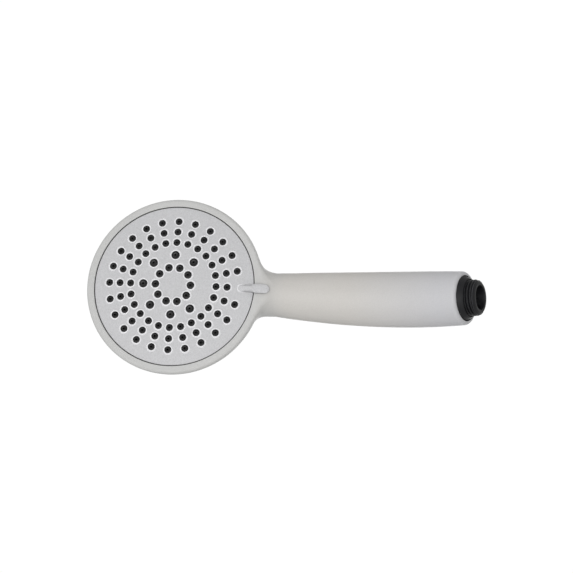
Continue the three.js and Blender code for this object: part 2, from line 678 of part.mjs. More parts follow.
// The fixed water block: a plate with the pivot hub, the port's cup, the detent's cup, the duct
// from the handle and the socket that takes the tube's tip.
function valveManifold() {
  const hub = HUB_DIAMETER / 2;
  const portCup = PORT_BORE / 2 + PORT_WALL;
  const detentBore = DETENT_DIAMETER / 2 + GAP;
  const detentCup = detentBore + DETENT_WALL;
  const detentFloor = detentSpringFloor() - GAP;
  const ductEnd = SOCKET_START - 1;
  const ductHalf = DUCT_WIDTH / 2;
  const socketEnd = TIP_START + TIP_LENGTH - 1;
  const socketBore = TIP_DIAMETER / 2 + 2 * GAP;
  const alongX = (geometry) => geometry.rotateY(Math.PI / 2).translate(0, 0, -AXIS_DEPTH);
  const stopTurn = SELECTOR_STEP + (STOP_SIZE + GAP) / STOP_RADIUS;
  const ductShape = slotShape(PORT_RADIUS, ductEnd, ductHalf);
  let block = solid(rod(MANIFOLD_RADIUS, MANIFOLD_BACK, MANIFOLD_FRONT, INNER_SIDES))
    .add(solid(rod(hub, DUCT_FLOOR, CHANNEL_FRONT + GAP, TUBE_SIDES)))
    .add(solid(rod(portCup, MANIFOLD_BACK, CUP_TOP, TUBE_SIDES).translate(PORT_RADIUS, 0, 0)))
    .add(solid(rod(detentCup, detentFloor - DETENT_WALL, CUP_TOP, TUBE_SIDES).translate(-PORT_RADIUS, 0, 0)))
    .add(solid(extrude(ductShape, DUCT_FLOOR - MANIFOLD_WALL, MANIFOLD_BACK + 1)))
    .add(solid(alongX(rod(SOCKET_DIAMETER / 2, SOCKET_START, socketEnd, TUBE_SIDES))));
  for (const side of [-1, 1]) {
    const stop = sectorShape(STOP_RADIUS, STOP_SIZE, Math.PI + side * stopTurn, STOP_SIZE);
    block = block.add(solid(extrude(stop, MANIFOLD_BACK + 1, CHANNEL_BACK - 2 * GAP)));
  }
  const channelHalf = ductHalf - MANIFOLD_WALL;
  block = block
    .subtract(solid(extrude(slotShape(PORT_RADIUS, ductEnd, channelHalf), DUCT_FLOOR, MANIFOLD_BACK - 1)))
    .subtract(solid(rod(PORT_BORE / 2, DUCT_FLOOR + 1, CUP_TOP + 1, TUBE_SIDES).translate(PORT_RADIUS, 0, 0)))
    .subtract(solid(rod(detentBore, detentFloor, CUP_TOP + 1, TUBE_SIDES).translate(-PORT_RADIUS, 0, 0)))
    .subtract(solid(alongX(rod(socketBore, SOCKET_START + 2 * GAP, socketEnd + 1, TUBE_SIDES))))
    .subtract(solid(alongX(rod(TIP_BORE / 2, ductEnd - 1, SOCKET_START + 1, TUBE_SIDES))))
    .subtract(solid(rod(PIVOT_SHANK / 2 + GAP, pivotTip() - GAP, CHANNEL_FRONT + 1)));
  for (const [x, y] of screwPlaces()) {
    const hole = rod(SCREW_SHANK / 2 + GAP, MANIFOLD_BACK - 1, MANIFOLD_FRONT + 1).translate(x, y, 0);
    block = block.subtract(solid(hole));
  }
  return geometryOf(block);
}

function washerLevel() {
  return CHANNEL_FRONT + 2 * GAP;
}

function pivotHeadLevel() {
  return washerLevel() + WASHER_THICKNESS + GAP;
}

function pivotTip() {
  return pivotHeadLevel() - PIVOT_LENGTH;
}

function pivotWasher() {
  const level = washerLevel();
  return ring(PIVOT_SHANK / 2 + GAP, PIVOT_RIB - RIB / 2 - GAP, level, level + WASHER_THICKNESS, TUBE_SIDES);
}

function portSeal() {
  const top = CHANNEL_BACK - GAP / 2;
  return ring(PORT_HOLE / 2, PORT_BORE / 2 - GAP, top - SEAL_THICKNESS, top, TUBE_SIDES);
}

function sealCarrier() {
  const top = CHANNEL_BACK - GAP / 2 - SEAL_THICKNESS - GAP;
  return ring(PORT_HOLE / 2, PORT_BORE / 2 - GAP, top - CARRIER_THICKNESS, top, TUBE_SIDES);
}

function portSpring() {
  const radius = PORT_BORE / 2 - 4 * GAP;
  const bottom = DUCT_FLOOR + GAP;
  const top = CHANNEL_BACK - GAP / 2 - SEAL_THICKNESS - CARRIER_THICKNESS - 2 * GAP;
  return coilSpring(radius, PORT_SPRING_WIRE, top - bottom, PORT_SPRING_TURNS).translate(0, 0, bottom);
}

function detentPlunger() {
  const radius = DETENT_DIAMETER / 2;
  const top = CHANNEL_BACK + DETENT_NOSE - GAP;
  const shoulder = top - radius;
  const nose = [0, Math.PI / 6, Math.PI / 3].map((turn) => [
    radius * Math.cos(turn),
    shoulder + radius * Math.sin(turn),
  ]);
  return revolve([[0, top - DETENT_LENGTH], [radius, top - DETENT_LENGTH], ...nose, [0, top]], SMALL_SIDES);
}

function detentSpringFloor() {
  return CHANNEL_BACK + DETENT_NOSE - GAP - DETENT_LENGTH - GAP - DETENT_SPRING;
}

function detentSpring() {
  const radius = DETENT_DIAMETER / 2 - DETENT_SPRING_WIRE;
  const spring = coilSpring(radius, DETENT_SPRING_WIRE, DETENT_SPRING, DETENT_SPRING_TURNS);
  return spring.translate(0, 0, detentSpringFloor());
}

// ---- Turning parts: channel plate, mats and spray face ----

// The plate behind the mats. Its ribs part the three chambers, and each chamber has a duct from the
// port's circle. The detent's plunger runs in a track at the back, and a lug between the manifold's
// two stops ends the turn.
function channelPlate() {
  const half = RIB / 2;
  const ribs = [
    [CHANNEL_RADIUS, CHANNEL_RADIUS - 2 * SEAL_SECTION],
    [MIDDLE_OUTER_RIB + half, MIDDLE_OUTER_RIB - half],
    [INNER_MIDDLE_RIB + half, INNER_MIDDLE_RIB - half],
    [PIVOT_RIB + half, PIVOT_RIB - half],
  ];
  const grooveTop = CHANNEL_FRONT + SEAL_GROOVE_TOP;
  const groove = SEAL_SECTION + 2 * GAP;
  const bore = HUB_DIAMETER / 2 + GAP;
  const profile = [
    [bore, CHANNEL_BACK],
    [CHANNEL_RADIUS, CHANNEL_BACK],
    [CHANNEL_RADIUS, grooveTop - groove],
    [CHANNEL_RADIUS - SEAL_SECTION, grooveTop - groove],
    [CHANNEL_RADIUS - SEAL_SECTION, grooveTop],
    [CHANNEL_RADIUS, grooveTop],
  ];
  ribs.forEach(([outer, inner], index) => {
    if (index > 0) profile.push([outer, CHANNEL_FRONT]);
    profile.push([outer, RIB_TOP], [inner, RIB_TOP], [inner, CHANNEL_FRONT]);
  });
  profile.push([bore, CHANNEL_FRONT]);
  let plate = solid(revolve(profile));
  const lug = sectorShape(STOP_RADIUS, STOP_SIZE, Math.PI, STOP_SIZE);
  plate = plate.add(solid(extrude(lug, MANIFOLD_FRONT + GAP, CHANNEL_BACK + 1)));
  const chamberMiddles = [INNER_RING_RADIUS, OUTER_RING_RADIUS - 2 * RING_PITCH, MIDDLE_RING_RADIUS];
  chamberMiddles.forEach((middle, index) => {
    const turn = (index - 1) * SELECTOR_STEP;
    plate = plate.subtract(solid(chamberDuct(middle).rotateZ(turn)));
    plate = plate.subtract(solid(detentNotch().rotateZ(turn + Math.PI)));
  });
  const track = DETENT_DIAMETER + 2 * GAP;
  const trackShape = sectorShape(PORT_RADIUS, track, Math.PI, 2 * SELECTOR_STEP * PORT_RADIUS + track);
  plate = plate.subtract(solid(extrude(trackShape, CHANNEL_BACK - 1, CHANNEL_BACK + DETENT_NOSE)));
  return geometryOf(plate);
}

// A slanting hole from the port's circle at the plate's back to a chamber's middle at its front.
function chamberDuct(middle) {
  const circle = (x, level) =>
    Array.from({ length: TUBE_SIDES / 2 }, (_, side) => {
      const turn = (4 * Math.PI * side) / TUBE_SIDES;
      const radius = PORT_HOLE / 2;
      return new THREE.Vector3(x + radius * Math.cos(turn), radius * Math.sin(turn), level);
    });
  const slope = (middle - PORT_RADIUS) / CHANNEL_PLATE;
  return loft([
    circle(PORT_RADIUS - slope, CHANNEL_BACK - 1),
    circle(middle + slope * 0.2, CHANNEL_FRONT + 0.2),
  ]);
}

// A pocket in the floor of the detent's track, one for each spray mode.
function detentNotch() {
  const floor = CHANNEL_BACK + DETENT_NOSE;
  return rod(DETENT_DIAMETER / 3, floor - GAP, floor + 2 * GAP).translate(PORT_RADIUS, 0, 0);
}

function chamberSealRing() {
  const level = CHANNEL_FRONT + SEAL_GROOVE_TOP - GAP - SEAL_SECTION / 2;
  return torus(CHANNEL_RADIUS + GAP - SEAL_SECTION / 2, SEAL_SECTION).translate(0, 0, level);
}

// A silicone mat: a flat ring with a nozzle for each hole of the spray face, each with its orifice.
function nozzleMat(inner, outer, nozzles) {
  let mat = solid(ring(inner, outer, MAT_BACK, MAT_FRONT));
  for (const { x, y, radius, hole } of nozzles) {
    const tip = faceLevel(radius) + NOZZLE_STANDOUT;
    const nozzle = rod(hole / 2 - GAP, MAT_BACK + GAP, tip, NOZZLE_SIDES).translate(x, y, 0);
    mat = mat.add(solid(nozzle));
  }
  for (const { x, y, radius } of nozzles) {
    const tip = faceLevel(radius) + NOZZLE_STANDOUT;
    const bore = rod(ORIFICE / 2, MAT_BACK - 1, tip + 1, ORIFICE_SIDES).translate(x, y, 0);
    mat = mat.subtract(solid(bore));
  }
  return geometryOf(mat);
}

// The lever that turns the face, and the ridge that leads up to it.
function selectorLever() {
  const under = RIM_TOP + 2 * GAP;
  const round = LEVER_WIDTH / 2;
  const lever = extrude(slotShape(FACE_RADIUS - 2, LEVER_REACH - round, round), under, LEVER_TOP);
  const side = new THREE.Shape();
  side.moveTo(RIDGE_START, FACE_BACK + GAP);
  side.lineTo(FACE_RADIUS - GAP, FACE_BACK + GAP);
  side.lineTo(FACE_RADIUS - GAP, LEVER_TOP);
  side.lineTo(RIDGE_START, faceLevel(RIDGE_START));
  const ridge = extrude(side, -RIDGE_WIDTH / 2, RIDGE_WIDTH / 2).rotateX(Math.PI / 2);
  return solid(lever).add(solid(ridge));
}

// The front disc with a hole for each nozzle, a skirt round the channel plate and the selector lever.
function sprayFace() {
  const steps = 3;
  const dome = Array.from({ length: steps + 1 }, (_, step) => {
    const radius = FACE_RADIUS * (1 - step / steps);
    return [radius, faceLevel(radius)];
  });
  const skirtEnd = CHANNEL_BACK + SKIRT_RISE;
  const disc = revolve(
    [
      [0, FACE_BACK],
      [SKIRT_INNER, FACE_BACK],
      [SKIRT_INNER, skirtEnd],
      [SKIRT_OUTER, skirtEnd],
      [SKIRT_OUTER, FACE_BACK],
      [FACE_RADIUS, FACE_BACK],
      ...dome,
    ],
    HEAD_SIDES,
  );
  let face = solid(disc).add(selectorLever());
  for (const { x, y, hole } of [...OUTER_NOZZLES, ...MIDDLE_NOZZLES, ...INNER_NOZZLES]) {
    face = face.subtract(solid(rod(hole / 2, FACE_BACK - 1, 3, NOZZLE_SIDES).translate(x, y, 0)));
  }
  return geometryOf(face);
}

// ---- Materials ----

const greyPlastic = () => new THREE.MeshStandardMaterial({ color: 0xc4c2bf, roughness: 0.5, metalness: 0 });
const faceGrey = () => new THREE.MeshStandardMaterial({ color: 0xc9c9ca, roughness: 0.45, metalness: 0 });
const blackPlastic = () => new THREE.MeshStandardMaterial({ color: 0x1c1d20, roughness: 0.4, metalness: 0 });
const blackSilicone = () => new THREE.MeshStandardMaterial({ color: 0x141416, roughness: 0.6, metalness: 0 });
const valvePlastic = () => new THREE.MeshStandardMaterial({ color: 0xe8e6df, roughness: 0.5, metalness: 0 });
const blackRubber = () => new THREE.MeshStandardMaterial({ color: 0x222222, roughness: 0.8, metalness: 0 });
const steel = () => new THREE.MeshStandardMaterial({ color: 0xb5b8bc, roughness: 0.3, metalness: 1 });

// ---- Assembly ----

function piece(name, geometry, material, x = 0, y = 0, z = 0) {
  const mesh = new THREE.Mesh(geometry, material);
  mesh.name = name;
  mesh.position.set(x, y, z);
  return mesh;
}

function inletParts() {
  return [
    piece("body_shell", bodyShell(), greyPlastic()),
    piece("waterway_tube", waterwayTube(), blackPlastic()),
    piece("inlet_collar", inletCollar(), blackPlastic()),
    piece("inlet_screen", inletScreen(), steel()),
    piece("flow_limiter_body", limiterBody(), valvePlastic()),
    piece("flow_limiter_ring", limiterRing(), blackRubber()),
  ];
}

function headParts() {
  const head = new THREE.Group();
  head.applyMatrix4(headMatrix());
  head.add(piece("valve_manifold", valveManifold(), valvePlastic()));
  ["manifold_screw_left", "manifold_screw_top", "manifold_screw_right"].forEach((name, index) => {
    const [x, y] = screwPlaces()[index];
    const shape = screw(SCREW_SHANK, SCREW_HEAD, SCREW_HEAD_HEIGHT, screwLength());
    head.add(piece(name, shape, steel(), x, y, MANIFOLD_FRONT + GAP));
  });
  ["tube_o_ring_upper", "tube_o_ring_lower"].forEach((name, index) => {
    const seal = piece(name, torus(tipSealRadius(), TIP_SEAL, TUBE_SIDES), blackRubber());
    seal.position.set(tipSealPlaces()[index], 0, -AXIS_DEPTH);
    seal.rotation.y = Math.PI / 2;
    head.add(seal);
  });
  head.add(piece("port_seal", portSeal(), blackRubber(), PORT_RADIUS));
  head.add(piece("seal_carrier", sealCarrier(), valvePlastic(), PORT_RADIUS));
  head.add(piece("port_spring", portSpring(), steel(), PORT_RADIUS));
  head.add(piece("detent_plunger", detentPlunger(), valvePlastic(), -PORT_RADIUS));
  head.add(piece("detent_spring", detentSpring(), steel(), -PORT_RADIUS));
  head.add(piece("pivot_washer", pivotWasher(), steel()));
  const pivot = screw(PIVOT_SHANK, PIVOT_HEAD, PIVOT_HEAD_HEIGHT, PIVOT_LENGTH);
  head.add(piece("pivot_screw", pivot, steel(), 0, 0, pivotHeadLevel()));
  head.add(piece("channel_plate", channelPlate(), valvePlastic()));
  head.add(piece("chamber_seal_ring", chamberSealRing(), blackRubber()));
  const bounds = [PIVOT_RIB - GAP, INNER_MIDDLE_RIB, MIDDLE_OUTER_RIB, CHANNEL_RADIUS - GAP];
  const edge = GAP / 2;
  const inner = nozzleMat(bounds[0], bounds[1] - edge, INNER_NOZZLES);
  const middle = nozzleMat(bounds[1] + edge, bounds[2] - edge, MIDDLE_NOZZLES);
  const outer = nozzleMat(bounds[2] + edge, bounds[3], OUTER_NOZZLES);
  head.add(piece("inner_nozzle_mat", inner, blackSilicone()));
  head.add(piece("middle_nozzle_mat", middle, blackSilicone()));
  head.add(piece("outer_nozzle_mat", outer, blackSilicone()));
  head.add(piece("spray_face", sprayFace(), faceGrey()));
  return head;
}

const showerHead = new THREE.Group();
showerHead.add(...inletParts(), headParts());

export default showerHead;
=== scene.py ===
"""Looks of a handheld shower head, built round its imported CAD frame.

Lengths are in millimetres until a mesh is made, and then in metres. The head has a frame of its own:
its origin lies on the head's axis, +Z leaves the spray face and +X runs towards the handle.
"""

import math

import bmesh
import bpy
import numpy as np
from mathutils import Matrix, Vector
from mathutils.geometry import delaunay_2d_cdt


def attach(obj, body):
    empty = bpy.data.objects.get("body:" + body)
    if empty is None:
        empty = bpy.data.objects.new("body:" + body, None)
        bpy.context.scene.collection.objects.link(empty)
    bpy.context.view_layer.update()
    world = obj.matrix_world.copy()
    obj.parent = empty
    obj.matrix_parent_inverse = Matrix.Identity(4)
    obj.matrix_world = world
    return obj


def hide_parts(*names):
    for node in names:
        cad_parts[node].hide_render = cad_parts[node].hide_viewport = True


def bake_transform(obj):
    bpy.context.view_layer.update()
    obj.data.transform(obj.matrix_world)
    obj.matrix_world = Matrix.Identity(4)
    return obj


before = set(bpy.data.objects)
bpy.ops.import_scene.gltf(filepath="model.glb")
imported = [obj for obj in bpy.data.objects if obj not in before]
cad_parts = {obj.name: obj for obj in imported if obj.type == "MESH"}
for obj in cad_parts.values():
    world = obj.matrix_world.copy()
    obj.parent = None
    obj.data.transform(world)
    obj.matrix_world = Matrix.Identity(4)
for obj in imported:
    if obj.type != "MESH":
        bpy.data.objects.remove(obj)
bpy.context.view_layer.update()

MM = 0.001

# ---- Driving sizes, the same as the CAD part's ----

HEAD_RADIUS = 105.5 / 2
HEAD_DEPTH = 26
RIM_TOP = -1.3
RIM_ROUND = 2
WALL = 2.4
MOUTH_RADIUS = 48.1
FACE_RADIUS = 47.75
FACE_ANGLE = math.radians(22)
AXIS_DEPTH = 19
NECK_STRAIGHT = 86.2
BEND_RADIUS = 220
INLET_STRAIGHT = 12
NECK_WIDTH = 25.7
NECK_DEPTH = 25.4
NECK_FILLET = 11
GRIP_WIDTH = 32.8
GRIP_DEPTH = 31.4
GRIP_AT = 138
END_DIAMETER = 30.9
END_ROUND = 1.8
END_SLANT = 0.05
NECK_RECESS = 1.6
MERGE_START = 50
MERGE_END = 74
MERGE_DROP = 0.3
SPINE_START = 14
SPINE_WIDTH = 32
SPINE_RISE = 2.4

THREAD_RADIUS = 20.955 / 2
THREAD_PITCH = 1.814
THREAD_DEPTH = 1.162
THREAD_TURNS = 4
THREAD_LEAD_IN = 1.9
THREAD_STANDOUT = 8.9
INLET_BORE = 14.2 / 2
INLET_BORE_DEPTH = 12
COLLAR_BORE = 26.6 / 2
COLLAR_LENGTH = 5.4
COLLAR_FLARE = 3.7
COLLAR_RECESS = 1
FLANGE_THICKNESS = 2
WEB_THICKNESS = 2
TUBE_RADIUS = 15 / 2
TUBE_BORE = 11 / 2
TIP_RADIUS = 12.2 / 2
TIP_BORE = 8 / 2
TIP_START = 47.8
TIP_LENGTH = 14
TIP_SEAL = 1.3

DOME_RADIUS = 390
NOZZLE_STANDOUT = 0.8
OUTER_RINGS = (25.65, 32.15, 38.65)
MIDDLE_RING = 17.9
INNER_RING = 10.5
OUTER_HOLE = 4.1 / 2
MIDDLE_HOLE = 4.9 / 2
INNER_HOLE = 4.5 / 2
FACE_THICKNESS = 1.8
SKIRT_OUTER = 46.35
SKIRT_INNER = 44.75
MAT_THICKNESS = 1.6
MAT_INNER = 6.35
MAT_OUTER = 43.85
MAT_EDGE = 0.15
CHAMBER_DEPTH = 2.9
CHANNEL_PLATE = 4.2
SKIRT_RISE = 1.8
LEVER_REACH = 57.2
LEVER_WIDTH = 5.4
LEVER_TOP = 1.6
RIDGE_START = 38.4
RIDGE_WIDTH = 3.8
GAP = 0.3

# ---- Sizes that only the looks need ----

SIDE_BLEND = 9.5  # fillet between bowl and handle, at the neck's sides and front
BACK_BLEND = 5  # the same, at its back
FRONT_SOFTENING = 1.8  # of the edge between the rim's plane and the neck
MOUTH_ROUND = 0.5  # of the edge where the housing's mouth begins
LIP_WIDTH = 0.6  # of the raised lip round each nozzle's hole
LIP_HEIGHT = 0.22
DISC_ROUND = 0.75  # of the spray face's outer edge
TOP_TAPER = 0.42  # how much narrower the lever's and ridge's top is than its foot
ORIFICE = 0.5  # radius of the hole in a nozzle
INNER_NUB = 1.15  # radius of the nub on an inner nozzle's shoulder
MIDDLE_NUB = 1.55
OUTER_NUB = 1.1
HOLE_CHAMFER = 0.2  # at the back of the holes and orifices
FLOOR_LEVEL = -500  # far below the object
FLOOR_RADIUS = 4000

# ---- Sizes worked out from them ----

HEAD_WIDEST = RIM_TOP - RIM_ROUND
BEND_LENGTH = BEND_RADIUS * FACE_ANGLE
AXIS_LENGTH = NECK_STRAIGHT + BEND_LENGTH + INLET_STRAIGHT
HANDLE_END = AXIS_LENGTH - THREAD_STANDOUT
HANDLE_WEB = THREAD_STANDOUT + COLLAR_RECESS + COLLAR_LENGTH + FLANGE_THICKNESS + 2 * GAP
NECK_START = math.sqrt((HEAD_RADIUS + NECK_FILLET) ** 2 - (NECK_WIDTH / 2 + NECK_FILLET) ** 2)
NECK_SHIFT = AXIS_DEPTH + HEAD_WIDEST - NECK_DEPTH / 2 - NECK_RECESS


def face_level(radius):
    """Level of the spray face's front at a distance from the head's axis."""
    return (OUTER_RINGS[-1] ** 2 - radius**2) / (2 * DOME_RADIUS) - NOZZLE_STANDOUT


FACE_BACK = face_level(FACE_RADIUS) - FACE_THICKNESS
MAT_FRONT = FACE_BACK - GAP
MAT_BACK = MAT_FRONT - MAT_THICKNESS
CHANNEL_BACK = MAT_BACK - CHAMBER_DEPTH - CHANNEL_PLATE


def handle_axis(from_head):
    """Point, way down and way forward of the handle's axis, in the part's frame."""
    height = AXIS_LENGTH - from_head
    turn = min(max((height - INLET_STRAIGHT) / BEND_RADIUS, 0), FACE_ANGLE)
    down = np.array([0, math.sin(turn), -math.cos(turn)])
    forward = np.array([0, -math.cos(turn), -math.sin(turn)])
    point = np.array([0, BEND_RADIUS * (math.cos(turn) - 1), BEND_RADIUS * math.sin(turn)])
    point[2] += min(height, INLET_STRAIGHT)
    point -= down * max(height - INLET_STRAIGHT - BEND_LENGTH, 0)
    return point, down, forward


def head_matrix():
    """The head's frame in the part's frame: rotation matrix and origin."""
    point, down, forward = handle_axis(0)
    return np.column_stack([down, [1, 0, 0], forward]), point + forward * AXIS_DEPTH


HEAD_TURN, HEAD_ORIGIN = head_matrix()


def from_head_frame(points):
    """Points of the head's frame, in the part's frame."""
    return np.asarray(points, float) @ HEAD_TURN.T + HEAD_ORIGIN


def to_head_frame(points):
    """Points of the part's frame, in the head's frame."""
    return (np.asarray(points, float) - HEAD_ORIGIN) @ HEAD_TURN


# ---- Mesh tools ----

FINE_SIDES = 192
HOLE_SIDES = 28
TUBE_SIDES = 64


class Skin:
    """Vertices and faces of a piece that is put together from sheets and strips, in millimetres."""

    def __init__(self):
        self.points = []
        self.faces = []

    def add(self, points, faces):
        start = len(self.points)
        self.points.extend([tuple(p) for p in points])
        self.faces.extend([tuple(start + i for i in face) for face in faces])

    def add_rows(self, rows, closed=False):
        """A strip of quads over rows of points that each go once round."""
        sides = len(rows[0])
        points = np.concatenate(rows)
        count = len(rows) if closed else len(rows) - 1
        faces = []
        for row in range(count):
            here, there = row * sides, ((row + 1) % len(rows)) * sides
            for side in range(sides):
                after = (side + 1) % sides
                faces.append((here + side, here + after, there + after, there + side))
        self.add(points, faces)

    def add_fan(self, row, centre):
        sides = len(row)
        points = np.concatenate([row, [centre]])
        self.add(points, [(side, (side + 1) % sides, sides) for side in range(sides)])


def new_object(name, points, faces, sharp_degrees=38):
    """A closed mesh in metres, with faces turned outwards and its sharper edges kept crisp."""
    mesh = bpy.data.meshes.new(name)
    mesh.from_pydata((np.asarray(points, float) * MM).tolist(), [], faces)
    obj = bpy.data.objects.new(name, mesh)
    bpy.context.scene.collection.objects.link(obj)
    tidy_mesh(mesh, sharp_degrees)
    return obj


def tidy_mesh(mesh, sharp_degrees=38):
    """Merges doubled points, turns the faces outwards and shades all but sharp edges smooth."""
    work = bmesh.new()
    work.from_mesh(mesh)
    bmesh.ops.remove_doubles(work, verts=work.verts, dist=0.002 * MM)
    bmesh.ops.dissolve_degenerate(work, edges=work.edges, dist=0.001 * MM)
    bmesh.ops.recalc_face_normals(work, faces=work.faces)
    for face in work.faces:
        face.smooth = True
    limit = math.radians(sharp_degrees)
    for edge in work.edges:
        edge.smooth = edge.calc_face_angle(0) < limit
    work.to_mesh(mesh)
    work.free()
    mesh.update()


def full_turn(sides):
    """The angles of evenly spaced points once round."""
    return np.arange(sides) * 2 * math.pi / sides


def circle(x, y, radius, sides):
    turns = full_turn(sides)
    return np.column_stack([x + radius * np.cos(turns), y + radius * np.sin(turns)])


def ring(radius, level, sides=FINE_SIDES, x=0, y=0):
    """A level circle, by default about the head's axis."""
    flat = circle(x, y, radius, sides)
    return np.column_stack([flat, np.full(sides, level)])


def rounded(corners, steps=4):
    """A profile of (radius, level) points from corners (radius, level, rounding)."""
    profile = []
    count = len(corners)
    for index, (r, z, rounding) in enumerate(corners):
        here = np.array([r, z], float)
        if rounding == 0 or index in (0, count - 1):
            profile.append(here)
            continue
        before = np.array(corners[index - 1][:2], float) - here
        after = np.array(corners[index + 1][:2], float) - here
        reach_before, reach_after = np.linalg.norm(before), np.linalg.norm(after)
        before, after = before / reach_before, after / reach_after
        half = math.acos(np.clip(before @ after, -1, 1)) / 2
        reach = min(rounding / math.tan(half), reach_before * 0.49, reach_after * 0.49)
        for step in range(steps + 1):
            share = step / steps
            start, end = here + before * reach, here + after * reach
            profile.append((1 - share) ** 2 * start + 2 * share * (1 - share) * here + share**2 * end)
    return profile


def lathe(skin, corners, sides=FINE_SIDES, x=0, y=0, steps=4):
    """A closed solid of revolution about Z: a profile that starts and ends on the axis, or goes round."""
    profile = rounded(corners, steps)
    on_axis = profile[0][0] == 0
    rows = [ring(r, z, sides, x, y) for r, z in profile if r > 0]
    if on_axis:
        skin.add_rows(rows)
        skin.add_fan(rows[0], (x, y, profile[0][1]))
        skin.add_fan(rows[-1], (x, y, profile[-1][1]))
    else:
        skin.add_rows(rows, closed=True)


def sheet(skin, outer, holes, level, spacing, inner=0):
    """A round sheet of triangles. Holes are (x, y, radius), and level gives the height at a radius."""
    loops = [circle(0, 0, outer, FINE_SIDES)]
    if inner:
        loops.append(circle(0, 0, inner, FINE_SIDES))
    loops += [circle(x, y, r, HOLE_SIDES) for x, y, r in holes]
    points, edges = [], []
    for loop in loops:
        start = len(points)
        points += [Vector(p) for p in loop]
        edges += [(start + i, start + (i + 1) % len(loop)) for i in range(len(loop))]
    points += [Vector(p) for p in grid_points(outer, inner, holes, spacing)]
    flat, _, faces, _, _, _ = delaunay_2d_cdt(points, edges, [], 0, 1e-6)
    flat = np.array(flat)
    kept = [face for face in faces if in_sheet(flat[list(face)].mean(0), outer, inner, holes)]
    skin.add(np.column_stack([flat, level(np.hypot(flat[:, 0], flat[:, 1]))]), kept)


def grid_points(outer, inner, holes, spacing):
    """Points in even triangles that lie well inside a sheet."""
    rows = int(outer / spacing) + 1
    found = []
    for row in range(-rows, rows + 1):
        for column in range(-rows, rows + 1):
            x = (column + 0.5 * (row % 2)) * spacing
            y = row * spacing * math.sqrt(3) / 2
            if not inner + spacing / 2 < math.hypot(x, y) < outer - spacing / 2:
                continue
            if all(math.hypot(x - hx, y - hy) > r + spacing / 2 for hx, hy, r in holes):
                found.append((x, y))
    return found


def in_sheet(point, outer, inner, holes):
    """Whether a point is on the sheet and in none of its holes."""
    x, y = point
    if not inner * 0.999 < math.hypot(x, y) < outer:
        return False
    return all(math.hypot(x - hx, y - hy) > r * 0.999 for hx, hy, r in holes)


def place_in_head(skin):
    return from_head_frame(skin.points)


def combine(target, tool, operation):
    """Joins, cuts or intersects two closed meshes. The tool object is used up."""
    modifier = target.modifiers.new("combine", "BOOLEAN")
    modifier.operation = operation
    modifier.solver = "MANIFOLD"
    modifier.object = tool
    apply_modifiers(target)
    bpy.data.objects.remove(tool)
    return target


def apply_modifiers(obj):
    """Replaces an object's mesh by what its modifiers make of it."""
    bpy.context.view_layer.update()
    graph = bpy.context.evaluated_depsgraph_get()
    made = bpy.data.meshes.new_from_object(obj.evaluated_get(graph))
    obj.modifiers.clear()
    obj.data = made


# ---- Nozzle places ----


def every_step(count):
    """Angles in degrees that divide a full turn."""
    return [step * 360 / count for step in range(count)]


def on_circle(radius, degrees):
    return [(radius * math.cos(math.radians(a)), radius * math.sin(math.radians(a))) for a in degrees]


OUTER_PLACES = [
    *on_circle(OUTER_RINGS[0], every_step(24)),
    *on_circle(OUTER_RINGS[1], every_step(24)),
    *on_circle(OUTER_RINGS[2], every_step(24)[1:]),
]
MIDDLE_PLACES = on_circle(MIDDLE_RING, [51, 90, 135, 180, 225, 270, 309])
INNER_PLACES = on_circle(INNER_RING, every_step(10))


# ---- Housing ----


def ease(share):
    """A smooth step from 0 to 1."""
    share = np.clip(share, 0, 1)
    return share * share * (3 - 2 * share)


def handle_section(from_head):
    """Half the handle's width, its front and its back at distances from the head's axis."""
    s = np.asarray(from_head, float)
    low = np.clip((s - GRIP_AT) / (HANDLE_END - GRIP_AT), 0, 1.2) ** 2
    grip = 1 - np.clip((GRIP_AT - s) / (GRIP_AT - NECK_START), 0, 1) ** 2
    spine = np.clip((NECK_START - s) / (NECK_START - SPINE_START), 0, 1)
    width = np.where(s > GRIP_AT, GRIP_WIDTH + (END_DIAMETER - GRIP_WIDTH) * low,
                     NECK_WIDTH + (GRIP_WIDTH - NECK_WIDTH) * grip + (SPINE_WIDTH - NECK_WIDTH) * spine)
    depth = np.where(s > GRIP_AT, GRIP_DEPTH + (END_DIAMETER - GRIP_DEPTH) * low,
                     NECK_DEPTH + (GRIP_DEPTH - NECK_DEPTH) * grip)
    shift = (1 - grip) * NECK_SHIFT
    merge = 1 - ease((s - MERGE_START) / (MERGE_END - MERGE_START))
    front = depth / 2 + shift
    front = front + (AXIS_DEPTH + RIM_TOP - MERGE_DROP - front) * merge
    back = shift - depth / 2 + spine * SPINE_RISE
    return width / 2, front, back


def along_handle(points):
    """Distance from the head's axis, to the side and ahead of the handle's axis."""
    x, y, z = points.T
    turn = np.clip(np.arctan2(z - INLET_STRAIGHT, y + BEND_RADIUS), 0, FACE_ANGLE)
    cosine, sine = np.cos(turn), np.sin(turn)
    off_y = y - BEND_RADIUS * (cosine - 1)
    off_z = z - BEND_RADIUS * sine - INLET_STRAIGHT
    ahead = -off_y * cosine - off_z * sine
    up = -off_y * sine + off_z * cosine
    return AXIS_LENGTH - (INLET_STRAIGHT + BEND_RADIUS * turn + up), x, ahead


def rounded_corner(a, b, radius):
    """Distance to the corner between two walls, from the distances to each."""
    a, b = a + radius, b + radius
    inside = np.minimum(np.maximum(a, b), 0)
    return inside + np.hypot(np.maximum(a, 0), np.maximum(b, 0)) - radius


def oval_distance(across, half_width, ahead, half_depth):
    """Nearly the distance to an oval's outline, below 0 inside it."""
    u, v = across / half_width, ahead / half_depth
    size = np.hypot(u, v) + 1e-6
    slope = np.hypot(u / half_width, v / half_depth) + 1e-6
    return size * (size - 1) / slope


